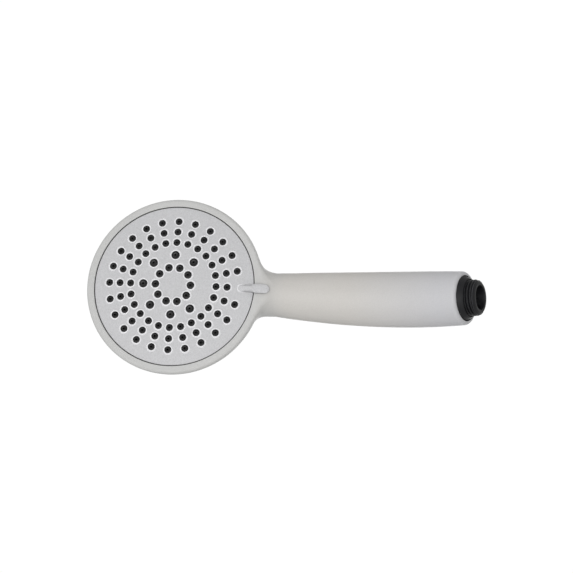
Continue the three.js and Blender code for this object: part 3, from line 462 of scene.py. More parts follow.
def handle_distance(points):
    """Distance to the handle's surface, below 0 inside it."""
    from_head, side, ahead = along_handle(points)
    half_width, front, back = handle_section(from_head)
    wall = oval_distance(side, half_width, ahead - (front + back) / 2, (front - back) / 2)
    beyond_end = (from_head + END_SLANT * ahead - HANDLE_END) / math.hypot(1, END_SLANT)
    closed = rounded_corner(wall, beyond_end, END_ROUND)
    return np.maximum(closed, SPINE_START - from_head)


def bowl_distance(points):
    """Distance to the head's surface, below 0 inside it, from points in the head's frame."""
    x, y, z = points.T
    radius = np.hypot(x, y)
    bowl = oval_distance(radius, HEAD_RADIUS, z - HEAD_WIDEST, HEAD_DEPTH)
    rim = rounded_corner(radius - HEAD_RADIUS, z - RIM_TOP, RIM_ROUND)
    return np.where(z < HEAD_WIDEST, bowl, rim)


def fillet_radius(points):
    """How wide the blend between bowl and handle is: widest at the neck's sides and front."""
    x, _, z = points.T
    width = BACK_BLEND + (SIDE_BLEND - BACK_BLEND) * ease((z + 24) / 10)
    return width * ease((x - SPINE_START) / 26) + 0.01


def housing_distance(points):
    """Distance to the housing's outer surface, with handle and bowl blended into each other."""
    in_head = to_head_frame(points)
    handle, bowl = handle_distance(points), bowl_distance(in_head)
    fillet = fillet_radius(in_head)
    overlap = np.maximum(fillet - np.abs(handle - bowl), 0)
    blended = np.minimum(handle, bowl) - overlap**2 / (4 * fillet)
    above_rim = in_head[:, 2] - RIM_TOP
    softening = FRONT_SOFTENING * ease((in_head[:, 0] - MOUTH_RADIUS) / 6) + 0.01
    overlap = np.maximum(softening - np.abs(blended - above_rim), 0)
    trimmed = np.maximum(blended, above_rim) + overlap**2 / (4 * softening)
    return np.where(in_head[:, 0] < NECK_START, trimmed, blended)


def distance_slope(points, step=0.02):
    """Which way the distance to the housing's surface grows."""
    grown = [housing_distance(points + d) - housing_distance(points - d) for d in np.eye(3) * step]
    return np.column_stack(grown) / (2 * step)


def handle_rows(start, end, steps, inset=0, sides=48):
    """Rings of points round the handle, between two distances from the head's axis."""
    turns = full_turn(sides)
    rows = []
    for from_head in np.linspace(start, end, steps):
        point, _, forward = handle_axis(from_head)
        half_width, front, back = handle_section(from_head)
        ahead = (front + back) / 2 + ((front - back) / 2 - inset) * np.sin(turns)
        across = (half_width - inset) * np.cos(turns)
        rows.append(point + ahead[:, None] * forward + across[:, None] * np.array([1, 0, 0]))
    return rows


def add_capped(skin, rows):
    """A strip over rows whose two open ends are closed."""
    skin.add_rows(rows)
    skin.add_fan(rows[0], rows[0].mean(0))
    skin.add_fan(rows[-1], rows[-1].mean(0))


def bowl_corners(wall, steps):
    """The bowl's profile from the axis to its widest place, a wall's thickness further in."""
    turns = [math.pi / 2 * (1 - step / steps) for step in range(steps + 1)]
    radius, depth = HEAD_RADIUS - wall, HEAD_DEPTH - wall
    curve = [(radius * math.cos(t), HEAD_WIDEST - depth * math.sin(t)) for t in turns]
    curve[0] = (0, curve[0][1])
    return [(r, z, 0) for r, z in curve]


def housing_outside():
    """The closed outer skin: bowl and handle joined, remeshed, and pulled onto the blended surface."""
    bowl = Skin()
    lathe(bowl, [*bowl_corners(0, 24), (HEAD_RADIUS, RIM_TOP, RIM_ROUND), (0, RIM_TOP, 0)], 96)
    skin = Skin()
    skin.add(place_in_head(bowl), bowl.faces)
    add_capped(skin, handle_rows(SPINE_START, HANDLE_END + END_SLANT * END_DIAMETER / 2, 60))
    obj = new_object("housing_shell", skin.points, skin.faces)
    remesh = obj.modifiers.new("remesh", "REMESH")
    remesh.mode = "VOXEL"
    remesh.voxel_size = 0.85 * MM
    apply_modifiers(obj)
    points = mesh_points(obj)
    for _ in range(6):
        slope = distance_slope(points)
        length = (slope**2).sum(1)[:, None] + 1e-9
        points = points - np.clip(housing_distance(points)[:, None] * slope / length, -1.5, 1.5)
    obj.data.vertices.foreach_set("co", (points * MM).ravel().astype(np.float32))
    obj.data.update()
    return obj


def mesh_points(obj):
    """An object's vertices in millimetres."""
    points = np.zeros(len(obj.data.vertices) * 3, np.float32)
    obj.data.vertices.foreach_get("co", points)
    return points.reshape(-1, 3).astype(float) / MM


def housing_cavity():
    """All that is hollow: the mouth and bowl, the handle, the collar's bore and the tube's hole."""
    skin = Skin()
    reach = (HEAD_RADIUS - WALL) ** 2
    shoulder = HEAD_WIDEST - (HEAD_DEPTH - WALL) * math.sqrt(1 - MOUTH_RADIUS**2 / reach)
    curve = [c for c in bowl_corners(WALL, 24) if c[0] < MOUTH_RADIUS - GAP]
    turns = np.linspace(0, math.pi / 2, 5)
    lip = [(MOUTH_RADIUS + MOUTH_ROUND * (1 - math.cos(t)), RIM_TOP - MOUTH_ROUND * (1 - math.sin(t)), 0)
           for t in turns]
    lip.append((MOUTH_RADIUS + MOUTH_ROUND, RIM_TOP + 3, 0))
    lathe(skin, [*curve, (MOUTH_RADIUS, shoulder, 0), *lip, (0, RIM_TOP + 3, 0)])
    cavity = new_object("cavity", place_in_head(skin), skin.faces)
    handle = Skin()
    add_capped(handle, handle_rows(SPINE_START, AXIS_LENGTH - HANDLE_WEB - WEB_THICKNESS, 50, WALL))
    combine(cavity, new_object("hollow", handle.points, handle.faces), "UNION")
    tube_hole = TUBE_RADIUS + 3 * GAP
    for radius, end in ((COLLAR_BORE, HANDLE_WEB), (tube_hole, HANDLE_WEB + 2 * WEB_THICKNESS)):
        bore = Skin()
        lathe(bore, [(0, 0, 0), (radius, 0, 0), (radius, end, 0), (0, end, 0)], 96)
        combine(cavity, new_object("bore", bore.points, bore.faces), "UNION")
    return cavity


def make_housing():
    """The moulding of bowl, rim, neck and handle, with its hollow."""
    shell = combine(housing_outside(), housing_cavity(), "DIFFERENCE")
    tidy_mesh(shell.data, 40)
    smooth_outside(shell)
    return shell


def smooth_outside(shell):
    """Gives the outer skin the exact normals of the blended surface."""
    points = mesh_points(shell)
    on_skin = np.abs(housing_distance(points)) < 0.02
    slope = distance_slope(points)
    slope /= np.linalg.norm(slope, axis=1)[:, None] + 1e-9
    mesh = shell.data
    normals = np.zeros((len(mesh.loops), 3))
    for face in mesh.polygons:
        corners = [mesh.loops[i].vertex_index for i in face.loop_indices]
        if not all(on_skin[v] for v in corners):
            continue
        if any(np.dot(slope[v], face.normal) < 0.8 for v in corners):
            continue
        for loop, vertex in zip(face.loop_indices, corners):
            normals[loop] = slope[vertex]
    mesh.normals_split_custom_set(normals.tolist())


# ---- Spray face ----


def hole_profile(x, y, hole):
    """From the face's front over a small raised lip and down through the hole."""
    level = face_level(math.hypot(x, y))
    return [
        (hole + LIP_WIDTH, level),
        (hole + LIP_WIDTH * 0.75, level + LIP_HEIGHT * 0.7),
        (hole + LIP_WIDTH * 0.45, level + LIP_HEIGHT),
        (hole + LIP_WIDTH * 0.15, level + LIP_HEIGHT * 0.6),
        (hole, level - LIP_HEIGHT),
        (hole, FACE_BACK + HOLE_CHAMFER),
        (hole + HOLE_CHAMFER, FACE_BACK),
    ]


def make_disc():
    """The spray face: a domed disc with lipped holes, its skirt, and the ridge and lever."""
    holes = [(x, y, OUTER_HOLE) for x, y in OUTER_PLACES]
    holes += [(x, y, MIDDLE_HOLE) for x, y in MIDDLE_PLACES]
    holes += [(x, y, INNER_HOLE) for x, y in INNER_PLACES]
    skin = Skin()
    edge = DISC_ROUND
    front = [(x, y, r + LIP_WIDTH) for x, y, r in holes]
    back = [(x, y, r + HOLE_CHAMFER) for x, y, r in holes]
    sheet(skin, FACE_RADIUS - edge, front, face_level, 1.6)
    sheet(skin, SKIRT_INNER, back, lambda r: 0 * r + FACE_BACK, 4)
    for x, y, r in holes:
        rows = []
        for index, (radius, level) in enumerate(hole_profile(x, y, r)):
            row = ring(radius, level, HOLE_SIDES, x, y)
            if index == 0:
                row[:, 2] = face_level(np.hypot(row[:, 0], row[:, 1]))
            rows.append(row)
        skin.add_rows(rows)
    top = face_level(FACE_RADIUS - edge)
    round_edge = [(FACE_RADIUS - edge * (1 - math.sin(t)), top - edge * 0.7 * (1 - math.cos(t)))
                  for t in np.linspace(0, math.pi / 2, 6)]
    skirt_end = CHANNEL_BACK + SKIRT_RISE
    rest = [(FACE_RADIUS, FACE_BACK), (SKIRT_OUTER, FACE_BACK), (SKIRT_OUTER, skirt_end),
            (SKIRT_INNER, skirt_end), (SKIRT_INNER, FACE_BACK)]
    skin.add_rows([ring(r, z) for r, z in [*round_edge, *rest]])
    disc = new_object("spray_disc", skin.points, skin.faces)
    combine(disc, make_lever(), "UNION")
    disc.data.transform(Matrix.Translation(HEAD_ORIGIN * MM) @ Matrix(HEAD_TURN.tolist()).to_4x4())
    tidy_mesh(disc.data)
    return disc


def make_lever():
    """The ridge that climbs from the face and the lever that it turns into, in the head's frame."""
    sides = 40
    turns = full_turn(sides)
    across = np.sign(np.cos(turns)) * np.abs(np.cos(turns)) ** 0.3
    upright = np.sign(np.sin(turns)) * np.abs(np.sin(turns)) ** 0.45
    across *= 1 - TOP_TAPER * np.clip(upright, 0, 1) ** 3
    rows = []
    tip = LEVER_WIDTH / 2
    round_start = LEVER_REACH - tip
    neck = FACE_RADIUS - 0.4
    stations = [*np.linspace(RIDGE_START, neck, 14), neck + 0.01]
    stations += [*np.linspace(neck + 0.6, round_start, 8)]
    stations += [round_start + tip * math.sin(t) for t in np.linspace(0.2, math.pi / 2 - 0.08, 9)]
    for x in stations:
        climb = min(max((x - RIDGE_START) / (FACE_RADIUS - RIDGE_START), 0), 1)
        top = face_level(x) - 0.05 + (LEVER_TOP - face_level(FACE_RADIUS)) * climb**0.6
        top = min(top, LEVER_TOP)
        widen = float(ease((x - FACE_RADIUS + 1.6) / 3))
        half = RIDGE_WIDTH / 2 + (LEVER_WIDTH - RIDGE_WIDTH) / 2 * widen
        under = FACE_BACK + GAP if x <= neck else RIM_TOP + 2 * GAP
        if x > round_start:
            fall = math.sqrt(max(1 - ((x - round_start) / tip) ** 2, 0.002))
            half *= fall
            top -= 0.9 * (1 - fall) ** 1.5
        middle, depth = (top + under) / 2, (top - under) / 2
        rows.append(np.column_stack([np.full(sides, x), half * across, middle + depth * upright]))
    skin = Skin()
    add_capped(skin, rows)
    return new_object("lever", skin.points, skin.faces)


# ---- Nozzle mats ----


def nozzle_profile(x, y, hole, nub):
    """From the mat up a nozzle's foot, in over its shoulder, up its nub and down the orifice."""
    foot = hole - GAP
    tip = face_level(math.hypot(x, y)) + NOZZLE_STANDOUT
    return [
        (foot + 0.1, MAT_FRONT),
        (foot, MAT_FRONT + 0.15),
        (foot, tip - 1.15),
        (foot - 0.12, tip - 1),
        (nub + 0.22, tip - 0.95),
        (nub + 0.06, tip - 0.8),
        (nub, tip - 0.3),
        (nub - 0.07, tip - 0.12),
        (nub - 0.22, tip),
        (ORIFICE + 0.3, tip - 0.03),
        (ORIFICE + 0.1, tip - 0.16),
        (ORIFICE, tip - 0.4),
        (ORIFICE, MAT_BACK + HOLE_CHAMFER),
        (ORIFICE + HOLE_CHAMFER, MAT_BACK),
    ]


def make_mat(name, inner, outer, places, hole, nub):
    """A flat silicone ring between two radii, with a nozzle at each place."""
    skin = Skin()
    front = [(x, y, hole - GAP + 0.1) for x, y in places]
    back = [(x, y, ORIFICE + HOLE_CHAMFER) for x, y in places]
    edge = MAT_EDGE
    sheet(skin, outer - edge, front, lambda r: 0 * r + MAT_FRONT, 3, inner + edge)
    sheet(skin, outer - edge, back, lambda r: 0 * r + MAT_BACK, 3, inner + edge)
    for x, y in places:
        skin.add_rows([ring(r, z, HOLE_SIDES, x, y) for r, z in nozzle_profile(x, y, hole, nub)])
    for side, radius in ((-1, outer), (1, inner)):
        rows = [(radius + side * edge, MAT_FRONT), (radius, MAT_FRONT - edge)]
        rows += [(radius, MAT_BACK + edge), (radius + side * edge, MAT_BACK)]
        skin.add_rows([ring(r, z) for r, z in rows])
    return new_object(name, place_in_head(skin), skin.faces)


# ---- Inlet ----


def thread_radius(height, turns):
    """Radius of the helical thread at a height, for every turn angle."""
    crest, root = THREAD_RADIUS, THREAD_RADIUS - THREAD_DEPTH
    phase = ((height - THREAD_LEAD_IN) / THREAD_PITCH - turns / (2 * math.pi)) % 1
    flank = 1 - np.abs(2 * phase - 1)
    shape = ease(flank * 1.35 - 0.1)
    start = ease((height - THREAD_LEAD_IN + 0.9) / 1.2)
    end = ease((THREAD_LEAD_IN + (THREAD_TURNS + 0.4) * THREAD_PITCH - height) / 1.4)
    return root + (crest - root) * shape * float(start) * float(end)


def inlet_row(height, radius, sides=TUBE_SIDES * 2):
    """A ring about the inlet's axis. The radius may differ from point to point."""
    turns = full_turn(sides)
    return np.column_stack([radius * np.cos(turns), radius * np.sin(turns), np.full(sides, height)])


def tube_row(from_head, radius, sides=TUBE_SIDES * 2):
    """A ring about the handle's bent axis."""
    point, _, forward = handle_axis(from_head)
    turns = full_turn(sides)
    across = radius * np.cos(turns)[:, None] * np.array([1, 0, 0])
    return point + across - radius * np.sin(turns)[:, None] * forward


def make_waterway():
    """The tube through the handle. Its outside runs from the inlet to the tip, its bore back again."""
    root = THREAD_RADIUS - THREAD_DEPTH
    flange = COLLAR_BORE - GAP
    flange_top = HANDLE_WEB - GAP
    plain = THREAD_RADIUS - 0.5
    outside = [(INLET_BORE + 0.3, 0), (root - 0.75, 0), (root - 0.5, 0.1)]
    outside += [(plain - 0.15, 1.1), (plain, 1.35), (plain, THREAD_LEAD_IN - 0.9)]
    rows = [inlet_row(z, r) for r, z in outside]
    thread_end = THREAD_LEAD_IN + (THREAD_TURNS + 0.8) * THREAD_PITCH
    turns = full_turn(TUBE_SIDES * 2)
    for height in np.arange(THREAD_LEAD_IN - 0.7, thread_end, THREAD_PITCH / 14):
        lead = float(ease((THREAD_LEAD_IN - height) / 0.7))
        rows.append(inlet_row(height, thread_radius(height, turns) * (1 - lead) + plain * lead))
    flange_bottom = flange_top - FLANGE_THICKNESS
    neck = [(root, flange_bottom - 0.5), (root + 0.5, flange_bottom)]
    neck += [(flange - 0.3, flange_bottom), (flange, flange_bottom + 0.3)]
    neck += [(flange, flange_top - 0.3), (flange - 0.3, flange_top), (TUBE_RADIUS + 0.4, flange_top)]
    rows += [inlet_row(z, r) for r, z in neck]
    tip_end = TIP_START + TIP_LENGTH
    tube = np.linspace(AXIS_LENGTH - flange_top - 0.6, tip_end + 0.5, 40)
    rows += [tube_row(s, TUBE_RADIUS) for s in tube]
    rows.append(tube_row(tip_end, TIP_RADIUS + 0.8))
    rows.append(tube_row(tip_end, TIP_RADIUS))
    for place in reversed(tip_seal_places()):
        half, floor = TIP_SEAL / 2 + GAP, TIP_RADIUS - TIP_SEAL - GAP / 2
        for s, r in ((half, TIP_RADIUS), (half, floor), (-half, floor), (-half, TIP_RADIUS)):
            rows.append(tube_row(place + s, r))
    rows += [tube_row(TIP_START + 0.5, TIP_RADIUS), tube_row(TIP_START, TIP_RADIUS - 0.5)]
    rows += [tube_row(TIP_START, TIP_BORE + 0.3), tube_row(TIP_START + 0.3, TIP_BORE)]
    rows += [tube_row(tip_end + 2, TIP_BORE), tube_row(tip_end + 2.2, TUBE_BORE)]
    bore = np.linspace(tip_end + 3, AXIS_LENGTH - INLET_BORE_DEPTH - 1, 36)
    rows += [tube_row(s, TUBE_BORE) for s in bore]
    inside = [(TUBE_BORE, INLET_BORE_DEPTH), (INLET_BORE - 0.2, INLET_BORE_DEPTH)]
    inside += [(INLET_BORE, INLET_BORE_DEPTH - 0.2), (INLET_BORE, 0.4), (INLET_BORE + 0.1, 0.12)]
    rows += [inlet_row(z, r) for r, z in inside]
    skin = Skin()
    skin.add_rows(rows, closed=True)
    return new_object("threaded_inlet", skin.points, skin.faces)


def tip_seal_places():
    """Distances from the head's axis to the middles of the two grooves for O-rings."""
    return [TIP_START + TIP_LENGTH * 0.25, TIP_START + TIP_LENGTH * 0.55]


def make_collar():
    """The flared ring in the handle's end, round the thread."""
    inner = THREAD_RADIUS + GAP
    outer = COLLAR_BORE - GAP
    front = THREAD_STANDOUT + COLLAR_RECESS
    back = front + COLLAR_LENGTH
    skin = Skin()
    lathe(skin, [
        (inner, front - COLLAR_FLARE + 1.2, 0),
        (inner, front - COLLAR_FLARE, 0.2),
        (inner + 0.5, front - COLLAR_FLARE, 0.25),
        (outer, front - 0.6, 0.3),
        (outer, back, 0.3),
        (inner, back, 0.3),
        (inner, front, 0),
    ], TUBE_SIDES * 2)
    return new_object("collar_ring", skin.points, skin.faces)


# ---- Materials ----


class Finish:
    """A procedural material while it is being wired."""

    def __init__(self, name):
        self.material = bpy.data.materials.new(name)
        self.material.use_nodes = True
        self.tree = self.material.node_tree
        self.shader = self.tree.nodes["Principled BSDF"]
        self.place = self.node("ShaderNodeTexCoord").outputs["Object"]

    def node(self, kind, settings=None, **inputs):
        node = self.tree.nodes.new(kind)
        for key, value in (settings or {}).items():
            setattr(node, key, value)
        for key, value in inputs.items():
            self.feed(node.inputs[key.replace("_", " ")], value)
        return node

    def feed(self, socket, value):
        if isinstance(value, bpy.types.NodeSocket):
            self.tree.links.new(value, socket)
        else:
            socket.default_value = value

    def noise(self, scale, detail=3, stretch=None):
        """Noise over the object's place, with a grain of about 1 / scale metres."""
        place = self.place
        if stretch:
            place = self.node("ShaderNodeMapping", Vector=place, Scale=stretch).outputs["Vector"]
        node = self.node("ShaderNodeTexNoise", {"noise_dimensions": "3D"}, Vector=place)
        node.inputs["Scale"].default_value = scale
        node.inputs["Detail"].default_value = detail
        return node.outputs["Fac"]

    def spread(self, value, low, high):
        """Maps a noise value, which mostly lies from 0.3 to 0.7, to a range."""
        node = self.node("ShaderNodeMapRange", Value=value)
        for key, number in (("From Min", 0.3), ("From Max", 0.7), ("To Min", low), ("To Max", high)):
            node.inputs[key].default_value = number
        return node.outputs["Result"]

    def spread_between(self, value, start, end):
        """0 below the start, 1 above the end."""
        node = self.node("ShaderNodeMapRange", Value=value)
        for key, number in (("From Min", start), ("From Max", end)):
            node.inputs[key].default_value = number
        return node.outputs["Result"]

    def calculate(self, operation, a, b):
        node = self.node("ShaderNodeMath", {"operation": operation})
        self.feed(node.inputs[0], a)
        self.feed(node.inputs[1], b)
        return node.outputs["Value"]

    def times(self, a, b):
        return self.calculate("MULTIPLY", a, b)

    def plus(self, a, b):
        return self.calculate("ADD", a, b)

    def tinted(self, colour, brightness):
        """A colour whose brightness is multiplied by a varying value."""
        node = self.node("ShaderNodeHueSaturation", Value=brightness)
        node.inputs["Color"].default_value = (*colour, 1)
        return node.outputs["Color"]

    def mixed(self, share, first, second):
        """The first colour where the share is 0, the second where it is 1."""
        node = self.node("ShaderNodeMix", {"data_type": "RGBA"})
        self.feed(node.inputs[0], share)
        self.feed(node.inputs[6], first)
        self.feed(node.inputs[7], second)
        return node.outputs[2]

    def edges(self, radius, full=0.8):
        """0 on open surfaces, rising towards 1 at edges that a radius rounds."""
        soft = self.node("ShaderNodeBevel", {"samples": 6}, Radius=radius * MM).outputs["Normal"]
        true = self.node("ShaderNodeNewGeometry").outputs["Normal"]
        dot = self.node("ShaderNodeVectorMath", {"operation": "DOT_PRODUCT"})
        self.feed(dot.inputs[0], soft)
        self.feed(dot.inputs[1], true)
        node = self.node("ShaderNodeMapRange", Value=dot.outputs["Value"])
        for key, number in (("From Min", 0.997), ("From Max", full), ("To Min", 0.0), ("To Max", 1.0)):
            node.inputs[key].default_value = number
        return node.outputs["Result"]

    def crevices(self, reach):
        """1 on open surfaces, falling towards 0 where other surfaces come within a reach in millimetres."""
        node = self.node("ShaderNodeAmbientOcclusion", {"samples": 8}, Distance=reach * MM)
        return node.outputs["AO"]

    def from_head_axis(self):
        """Distance from the head's axis in metres."""
        offset = self.node("ShaderNodeVectorMath", {"operation": "SUBTRACT"})
        self.feed(offset.inputs[0], self.place)
        self.feed(offset.inputs[1], (HEAD_ORIGIN * MM).tolist())
        across = self.node("ShaderNodeVectorMath", {"operation": "CROSS_PRODUCT"})
        self.feed(across.inputs[0], offset.outputs["Vector"])
        self.feed(across.inputs[1], HEAD_TURN[:, 2].tolist())
        length = self.node("ShaderNodeVectorMath", {"operation": "LENGTH"})
        self.feed(length.inputs[0], across.outputs["Vector"])
        return length.outputs["Value"]

    def colour(self, value):
        self.feed(self.shader.inputs["Base Color"], value)

    def roughness(self, value):
        self.feed(self.shader.inputs["Roughness"], value)

    def bump(self, height, depth):
        """Raises the surface by at most a depth in millimetres."""
        node = self.node("ShaderNodeBump", Height=height, Strength=1.0, Distance=depth * MM)
        self.feed(self.shader.inputs["Normal"], node.outputs["Normal"])


def srgb(*levels):
    """A colour from its red, green and blue display levels, from 0 to 255."""
    shares = [level / 255 for level in levels]
    return tuple(((c + 0.055) / 1.055) ** 2.4 if c > 0.04045 else c / 12.92 for c in shares)


def satin_plastic(name, colour, bands=(), speckle=0.03, wear_and_highlight=0.5, edge_size=0.5, edge_full=0.8,
                  highlight_within=None):
    """Moulded plastic with a fine satin grain, faint mottling, paler and smoother edges, and painted shade
    in crevices.

    Each band is a colour that sets in between two heights in metres. The paler edges are partly wear and
    partly painted highlight; where a distance from the head's axis is given, they are pale only within it.
    """
    finish = Finish(name)
    fine = finish.noise(1500, 2)
    broad = finish.noise(38, 3)
    brightness = finish.plus(
        finish.spread(fine, -speckle, speckle),
        finish.spread(broad, 0.985, 1.012),
    )
    base = finish.tinted(colour, brightness)
    height = finish.node("ShaderNodeSeparateXYZ", Vector=finish.place).outputs["Z"]
    for band, start, end in bands:
        share = finish.spread_between(height, start, end)
        base = finish.mixed(share, base, finish.tinted(band, brightness))
    rim = finish.edges(edge_size, edge_full)
    # Paler edges: partly wear, partly painted highlight.
    edge = finish.times(rim, finish.spread(finish.noise(160, 3), wear_and_highlight * 0.7, wear_and_highlight))
    # Kept near the head's axis, the paler edges paint a bright highlight round the spray face's holes.
    if highlight_within:
        edge = finish.times(edge, finish.spread_between(finish.from_head_axis(), highlight_within + 0.002, highlight_within))
    pale = tuple(min(1, c * 1.8) for c in colour)
    # Painted shade: the colour falls towards a dark tone where other surfaces come close.
    painted_shade = tuple(c * 0.16 for c in colour)
    open_share = finish.spread_between(finish.crevices(1.1), 0.3, 0.8)
    unshaded = finish.mixed(edge, base, (*pale, 1))
    finish.colour(finish.mixed(open_share, (*painted_shade, 1), unshaded))
    rough = finish.plus(finish.spread(broad, 0.44, 0.56), finish.times(edge, -0.1))
    finish.roughness(rough)
    finish.bump(finish.plus(fine, finish.times(finish.noise(700, 2), 0.6)), 0.012)
    return finish.material


def black_silicone(name):
    """Soft, rather glossy rubber, deeper black where it is hidden from light."""
    finish = Finish(name)
    fine = finish.noise(2600, 3)
    broad = finish.noise(240, 2)
    base = finish.tinted(srgb(15, 15, 16), finish.spread(broad, 0.75, 1.2))
    open_share = finish.spread_between(finish.crevices(1.2), 0.35, 1.0)
    finish.colour(finish.mixed(open_share, (*srgb(3, 3, 3), 1), base))
    finish.roughness(finish.spread(fine, 0.24, 0.38))
    finish.shader.inputs["Specular IOR Level"].default_value = 0.5
    finish.bump(fine, 0.006)
    return finish.material


def black_plastic(name):
    """Moulded plastic with a patchy painted grey highlight along its sharp edges."""
    finish = Finish(name)
    fine = finish.noise(1500, 3)
    broad = finish.noise(90, 3)
    # Painted highlight: sharp edges are mixed towards grey in patches.
    edge = finish.times(finish.edges(0.35), finish.spread(finish.noise(300, 3), 0.25, 0.7))
    base = finish.tinted(srgb(21, 21, 24), finish.spread(broad, 0.85, 1.15))
    finish.colour(finish.mixed(edge, base, (*srgb(96, 97, 101), 1)))
    finish.roughness(finish.spread(broad, 0.36, 0.5))
    finish.shader.inputs["Specular IOR Level"].default_value = 0.3
    finish.bump(fine, 0.008)
    return finish.material


def white_plastic(name):
    """Unpainted moulded plastic of the parts inside."""
    finish = Finish(name)
    fine = finish.noise(1200, 3)
    broad = finish.noise(60, 3)
    finish.colour(finish.tinted(srgb(232, 230, 222), finish.spread(broad, 0.95, 1.03)))
    finish.roughness(finish.spread(fine, 0.38, 0.52))
    finish.bump(fine, 0.01)
    return finish.material


def seal_rubber(name):
    """Dull black rubber."""
    finish = Finish(name)
    fine = finish.noise(3000, 4)
    broad = finish.noise(200, 3)
    finish.colour(finish.tinted(srgb(33, 33, 34), finish.spread(broad, 0.8, 1.2)))
    finish.roughness(finish.spread(fine, 0.6, 0.8))
    finish.bump(fine, 0.01)
    return finish.material


def stainless_steel(name):
    """Bright steel with a fine drawn grain."""
    finish = Finish(name)
    brushed = finish.noise(900, 4, (1, 1, 12))
    broad = finish.noise(150, 3)
    finish.shader.inputs["Metallic"].default_value = 1.0
    finish.colour(finish.tinted(srgb(186, 188, 191), finish.spread(broad, 0.92, 1.05)))
    finish.roughness(finish.spread(brushed, 0.2, 0.38))
    finish.bump(brushed, 0.003)
    return finish.material


# The handle is warmer in its middle and cooler at its lower end.
HANDLE_BANDS = (
    (srgb(196, 193, 189), 0.124, 0.108),
    (srgb(190, 190, 193), 0.075, 0.02),
)

MATERIALS = {
    "shell_plastic": satin_plastic("shell_plastic", srgb(190, 190, 189), HANDLE_BANDS),
    # The spray face's pale edges near its axis are a painted highlight round each nozzle hole.
    "face_plastic": satin_plastic("face_plastic", srgb(190, 190, 192), speckle=0.09, wear_and_highlight=1.5,
                                  edge_size=1.1, edge_full=0.96, highlight_within=0.041),
    "black_plastic": black_plastic("black_plastic"),
    "nozzle_silicone": black_silicone("nozzle_silicone"),
    "valve_plastic": white_plastic("valve_plastic"),
    "seal_rubber": seal_rubber("seal_rubber"),
    "stainless_steel": stainless_steel("stainless_steel"),
}


# ---- Assembly ----


def finish_piece(obj, slot, body, *nodes):
    """Gives a piece its material and its body, and hides the CAD nodes that it stands for."""
    obj.data.materials.clear()
    obj.data.materials.append(MATERIALS[slot])
    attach(obj, body)
    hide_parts(*nodes)


def finish_node(name, slot):
    """Gives a CAD node that is carried over its material."""
    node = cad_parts[name]
    for holder in node.material_slots:
        holder.material = MATERIALS[slot]


def add_visible_pieces():
    finish_piece(make_housing(), "shell_plastic", "housing", "body_shell")
    finish_piece(make_disc(), "face_plastic", "selector", "spray_face")
    finish_piece(make_waterway(), "black_plastic", "housing", "waterway_tube")
    finish_piece(make_collar(), "black_plastic", "housing", "inlet_collar")
    inner_middle = (INNER_RING + MIDDLE_RING) / 2
    middle_outer = (MIDDLE_RING + OUTER_RINGS[0]) / 2
    mats = [
        ("inner", MAT_INNER, inner_middle - GAP / 2, INNER_PLACES, INNER_HOLE, INNER_NUB),
        ("middle", inner_middle + GAP / 2, middle_outer - GAP / 2, MIDDLE_PLACES, MIDDLE_HOLE, MIDDLE_NUB),
        ("outer", middle_outer + GAP / 2, MAT_OUTER, OUTER_PLACES, OUTER_HOLE, OUTER_NUB),
    ]
    for which, inner, outer, places, hole, nub in mats:
        mat = make_mat(f"{which}_nozzles", inner, outer, places, hole, nub)
        finish_piece(mat, "nozzle_silicone", "selector", f"{which}_nozzle_mat")


INSIDE = {
    "stainless_steel": ["inlet_screen", "manifold_screw_left", "manifold_screw_top", "manifold_screw_right",
                        "port_spring", "pivot_washer", "pivot_screw"],
    "valve_plastic": ["flow_limiter_body", "valve_manifold", "seal_carrier", "detent_plunger",
                      "channel_plate"],
    "seal_rubber": ["flow_limiter_ring", "tube_o_ring_upper", "tube_o_ring_lower", "port_seal",
                    "chamber_seal_ring"],
}


def add_inside():
    for slot, names in INSIDE.items():
        for name in names:
            finish_node(name, slot)
    add_detent_spring()


def add_detent_spring():
    """The detent's spring: a copy of the CAD spring in stainless steel, shown in place of the CAD node."""
    spring = bpy.data.objects.new("detent_coil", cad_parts["detent_spring"].data.copy())
    bpy.context.scene.collection.objects.link(spring)
    spring.data.materials.clear()
    spring.data.materials.append(MATERIALS["stainless_steel"])
    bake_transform(spring)
    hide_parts("detent_spring")


# ---- Camera, light and floor ----

CAMERA_PLACE = (190.90, -184.53, 862.48)
CAMERA_RIGHT = (0.9894, 0.0710, -0.1265)
CAMERA_UP = (-0.0422, 0.9753, 0.2169)
CAMERA_LENS = 96.03


def turned_to_head(way):
    """A unit direction of the head's frame, in the part's frame."""
    turned = np.array(way) @ HEAD_TURN.T
    return turned / np.linalg.norm(turned)


def add_camera():
    """A long lens ahead of the face, placed and turned in the head's frame."""
    right = turned_to_head(CAMERA_RIGHT)
    back = np.cross(right, np.array(CAMERA_UP) @ HEAD_TURN.T)
    back /= np.linalg.norm(back)
    up = np.cross(back, right)
    data = bpy.data.cameras.new("camera")
    data.lens = CAMERA_LENS
    data.sensor_width = 36
    data.clip_start = 0.05
    data.clip_end = 20
    camera = bpy.data.objects.new("camera", data)
    bpy.context.scene.collection.objects.link(camera)
    turn = Matrix(np.column_stack([right, up, back]).tolist()).to_4x4()
    camera.matrix_world = Matrix.Translation(from_head_frame([CAMERA_PLACE])[0] * MM) @ turn
    bpy.context.scene.camera = camera


def add_light(name, place, size, power, target=(60, 0, -10)):
    """A square soft light at a place in the head's frame, which faces the object."""
    data = bpy.data.lights.new(name, "AREA")
    data.shape = "SQUARE"
    data.size = size
    data.energy = power
    light = bpy.data.objects.new(name, data)
    bpy.context.scene.collection.objects.link(light)
    start = Vector(from_head_frame([place])[0] * MM)
    way = Vector(from_head_frame([target])[0] * MM) - start
    light.matrix_world = Matrix.Translation(start) @ way.to_track_quat("-Z", "Y").to_matrix().to_4x4()


BEHIND = 0.47  # strength of the light from behind the head
IN_FRONT = 0.87


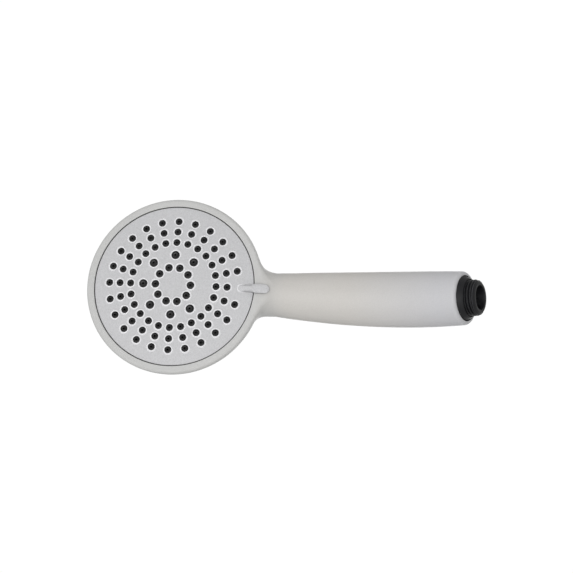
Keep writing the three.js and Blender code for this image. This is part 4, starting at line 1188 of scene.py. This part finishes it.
def add_world():
    """A white surround that shows as pure white and lights the object most from in front of the head."""
    world = bpy.data.worlds.new("surround")
    world.use_nodes = True
    tree = world.node_tree
    tree.nodes.clear()
    seen = tree.nodes.new("ShaderNodeBackground")
    lights = tree.nodes.new("ShaderNodeBackground")
    for background in (seen, lights):
        background.inputs["Color"].default_value = (1, 1, 1, 1)
    seen.inputs["Strength"].default_value = 1.02
    way = tree.nodes.new("ShaderNodeTexCoord").outputs["Generated"]
    forward = tree.nodes.new("ShaderNodeVectorMath")
    forward.operation = "DOT_PRODUCT"
    tree.links.new(way, forward.inputs[0])
    forward.inputs[1].default_value = HEAD_TURN[:, 2].tolist()
    strength = tree.nodes.new("ShaderNodeMapRange")
    range_ends = {"From Min": -0.3, "From Max": 0.3, "To Min": BEHIND, "To Max": IN_FRONT}
    for key, number in range_ends.items():
        strength.inputs[key].default_value = number
    tree.links.new(forward.outputs["Value"], strength.inputs["Value"])
    tree.links.new(strength.outputs["Result"], lights.inputs["Strength"])
    path = tree.nodes.new("ShaderNodeLightPath")
    mix = tree.nodes.new("ShaderNodeMixShader")
    tree.links.new(path.outputs["Is Camera Ray"], mix.inputs[0])
    tree.links.new(lights.outputs[0], mix.inputs[1])
    tree.links.new(seen.outputs[0], mix.inputs[2])
    tree.links.new(mix.outputs[0], tree.nodes.new("ShaderNodeOutputWorld").inputs[0])
    bpy.context.scene.world = world


def add_floor():
    """A plain pale floor, well below the object, as if a bracket held it."""
    under = FLOOR_LEVEL - 20
    skin = Skin()
    lathe(skin, [(0, under, 0), (FLOOR_RADIUS, under, 0), (FLOOR_RADIUS, FLOOR_LEVEL, 0),
                 (0, FLOOR_LEVEL, 0)], 96)
    floor = new_object("floor", skin.points, skin.faces)
    finish = Finish("floor")
    shade = finish.spread(finish.noise(6, 3), 0.985, 1.01)
    finish.colour(finish.tinted((0.86, 0.86, 0.85), shade))
    finish.shader.inputs["Roughness"].default_value = 0.8
    floor.data.materials.append(finish.material)


add_camera()
add_world()
add_floor()
add_light("key", (140, -230, 900), 1.0, 5.6)
add_light("end", (760, -160, 260), 0.4, 2.4, target=(165, 0, -20))
add_light("back", (100, 200, -900), 0.8, 3)
bpy.context.scene.view_settings.view_transform = "Standard"
add_visible_pieces()
add_inside()
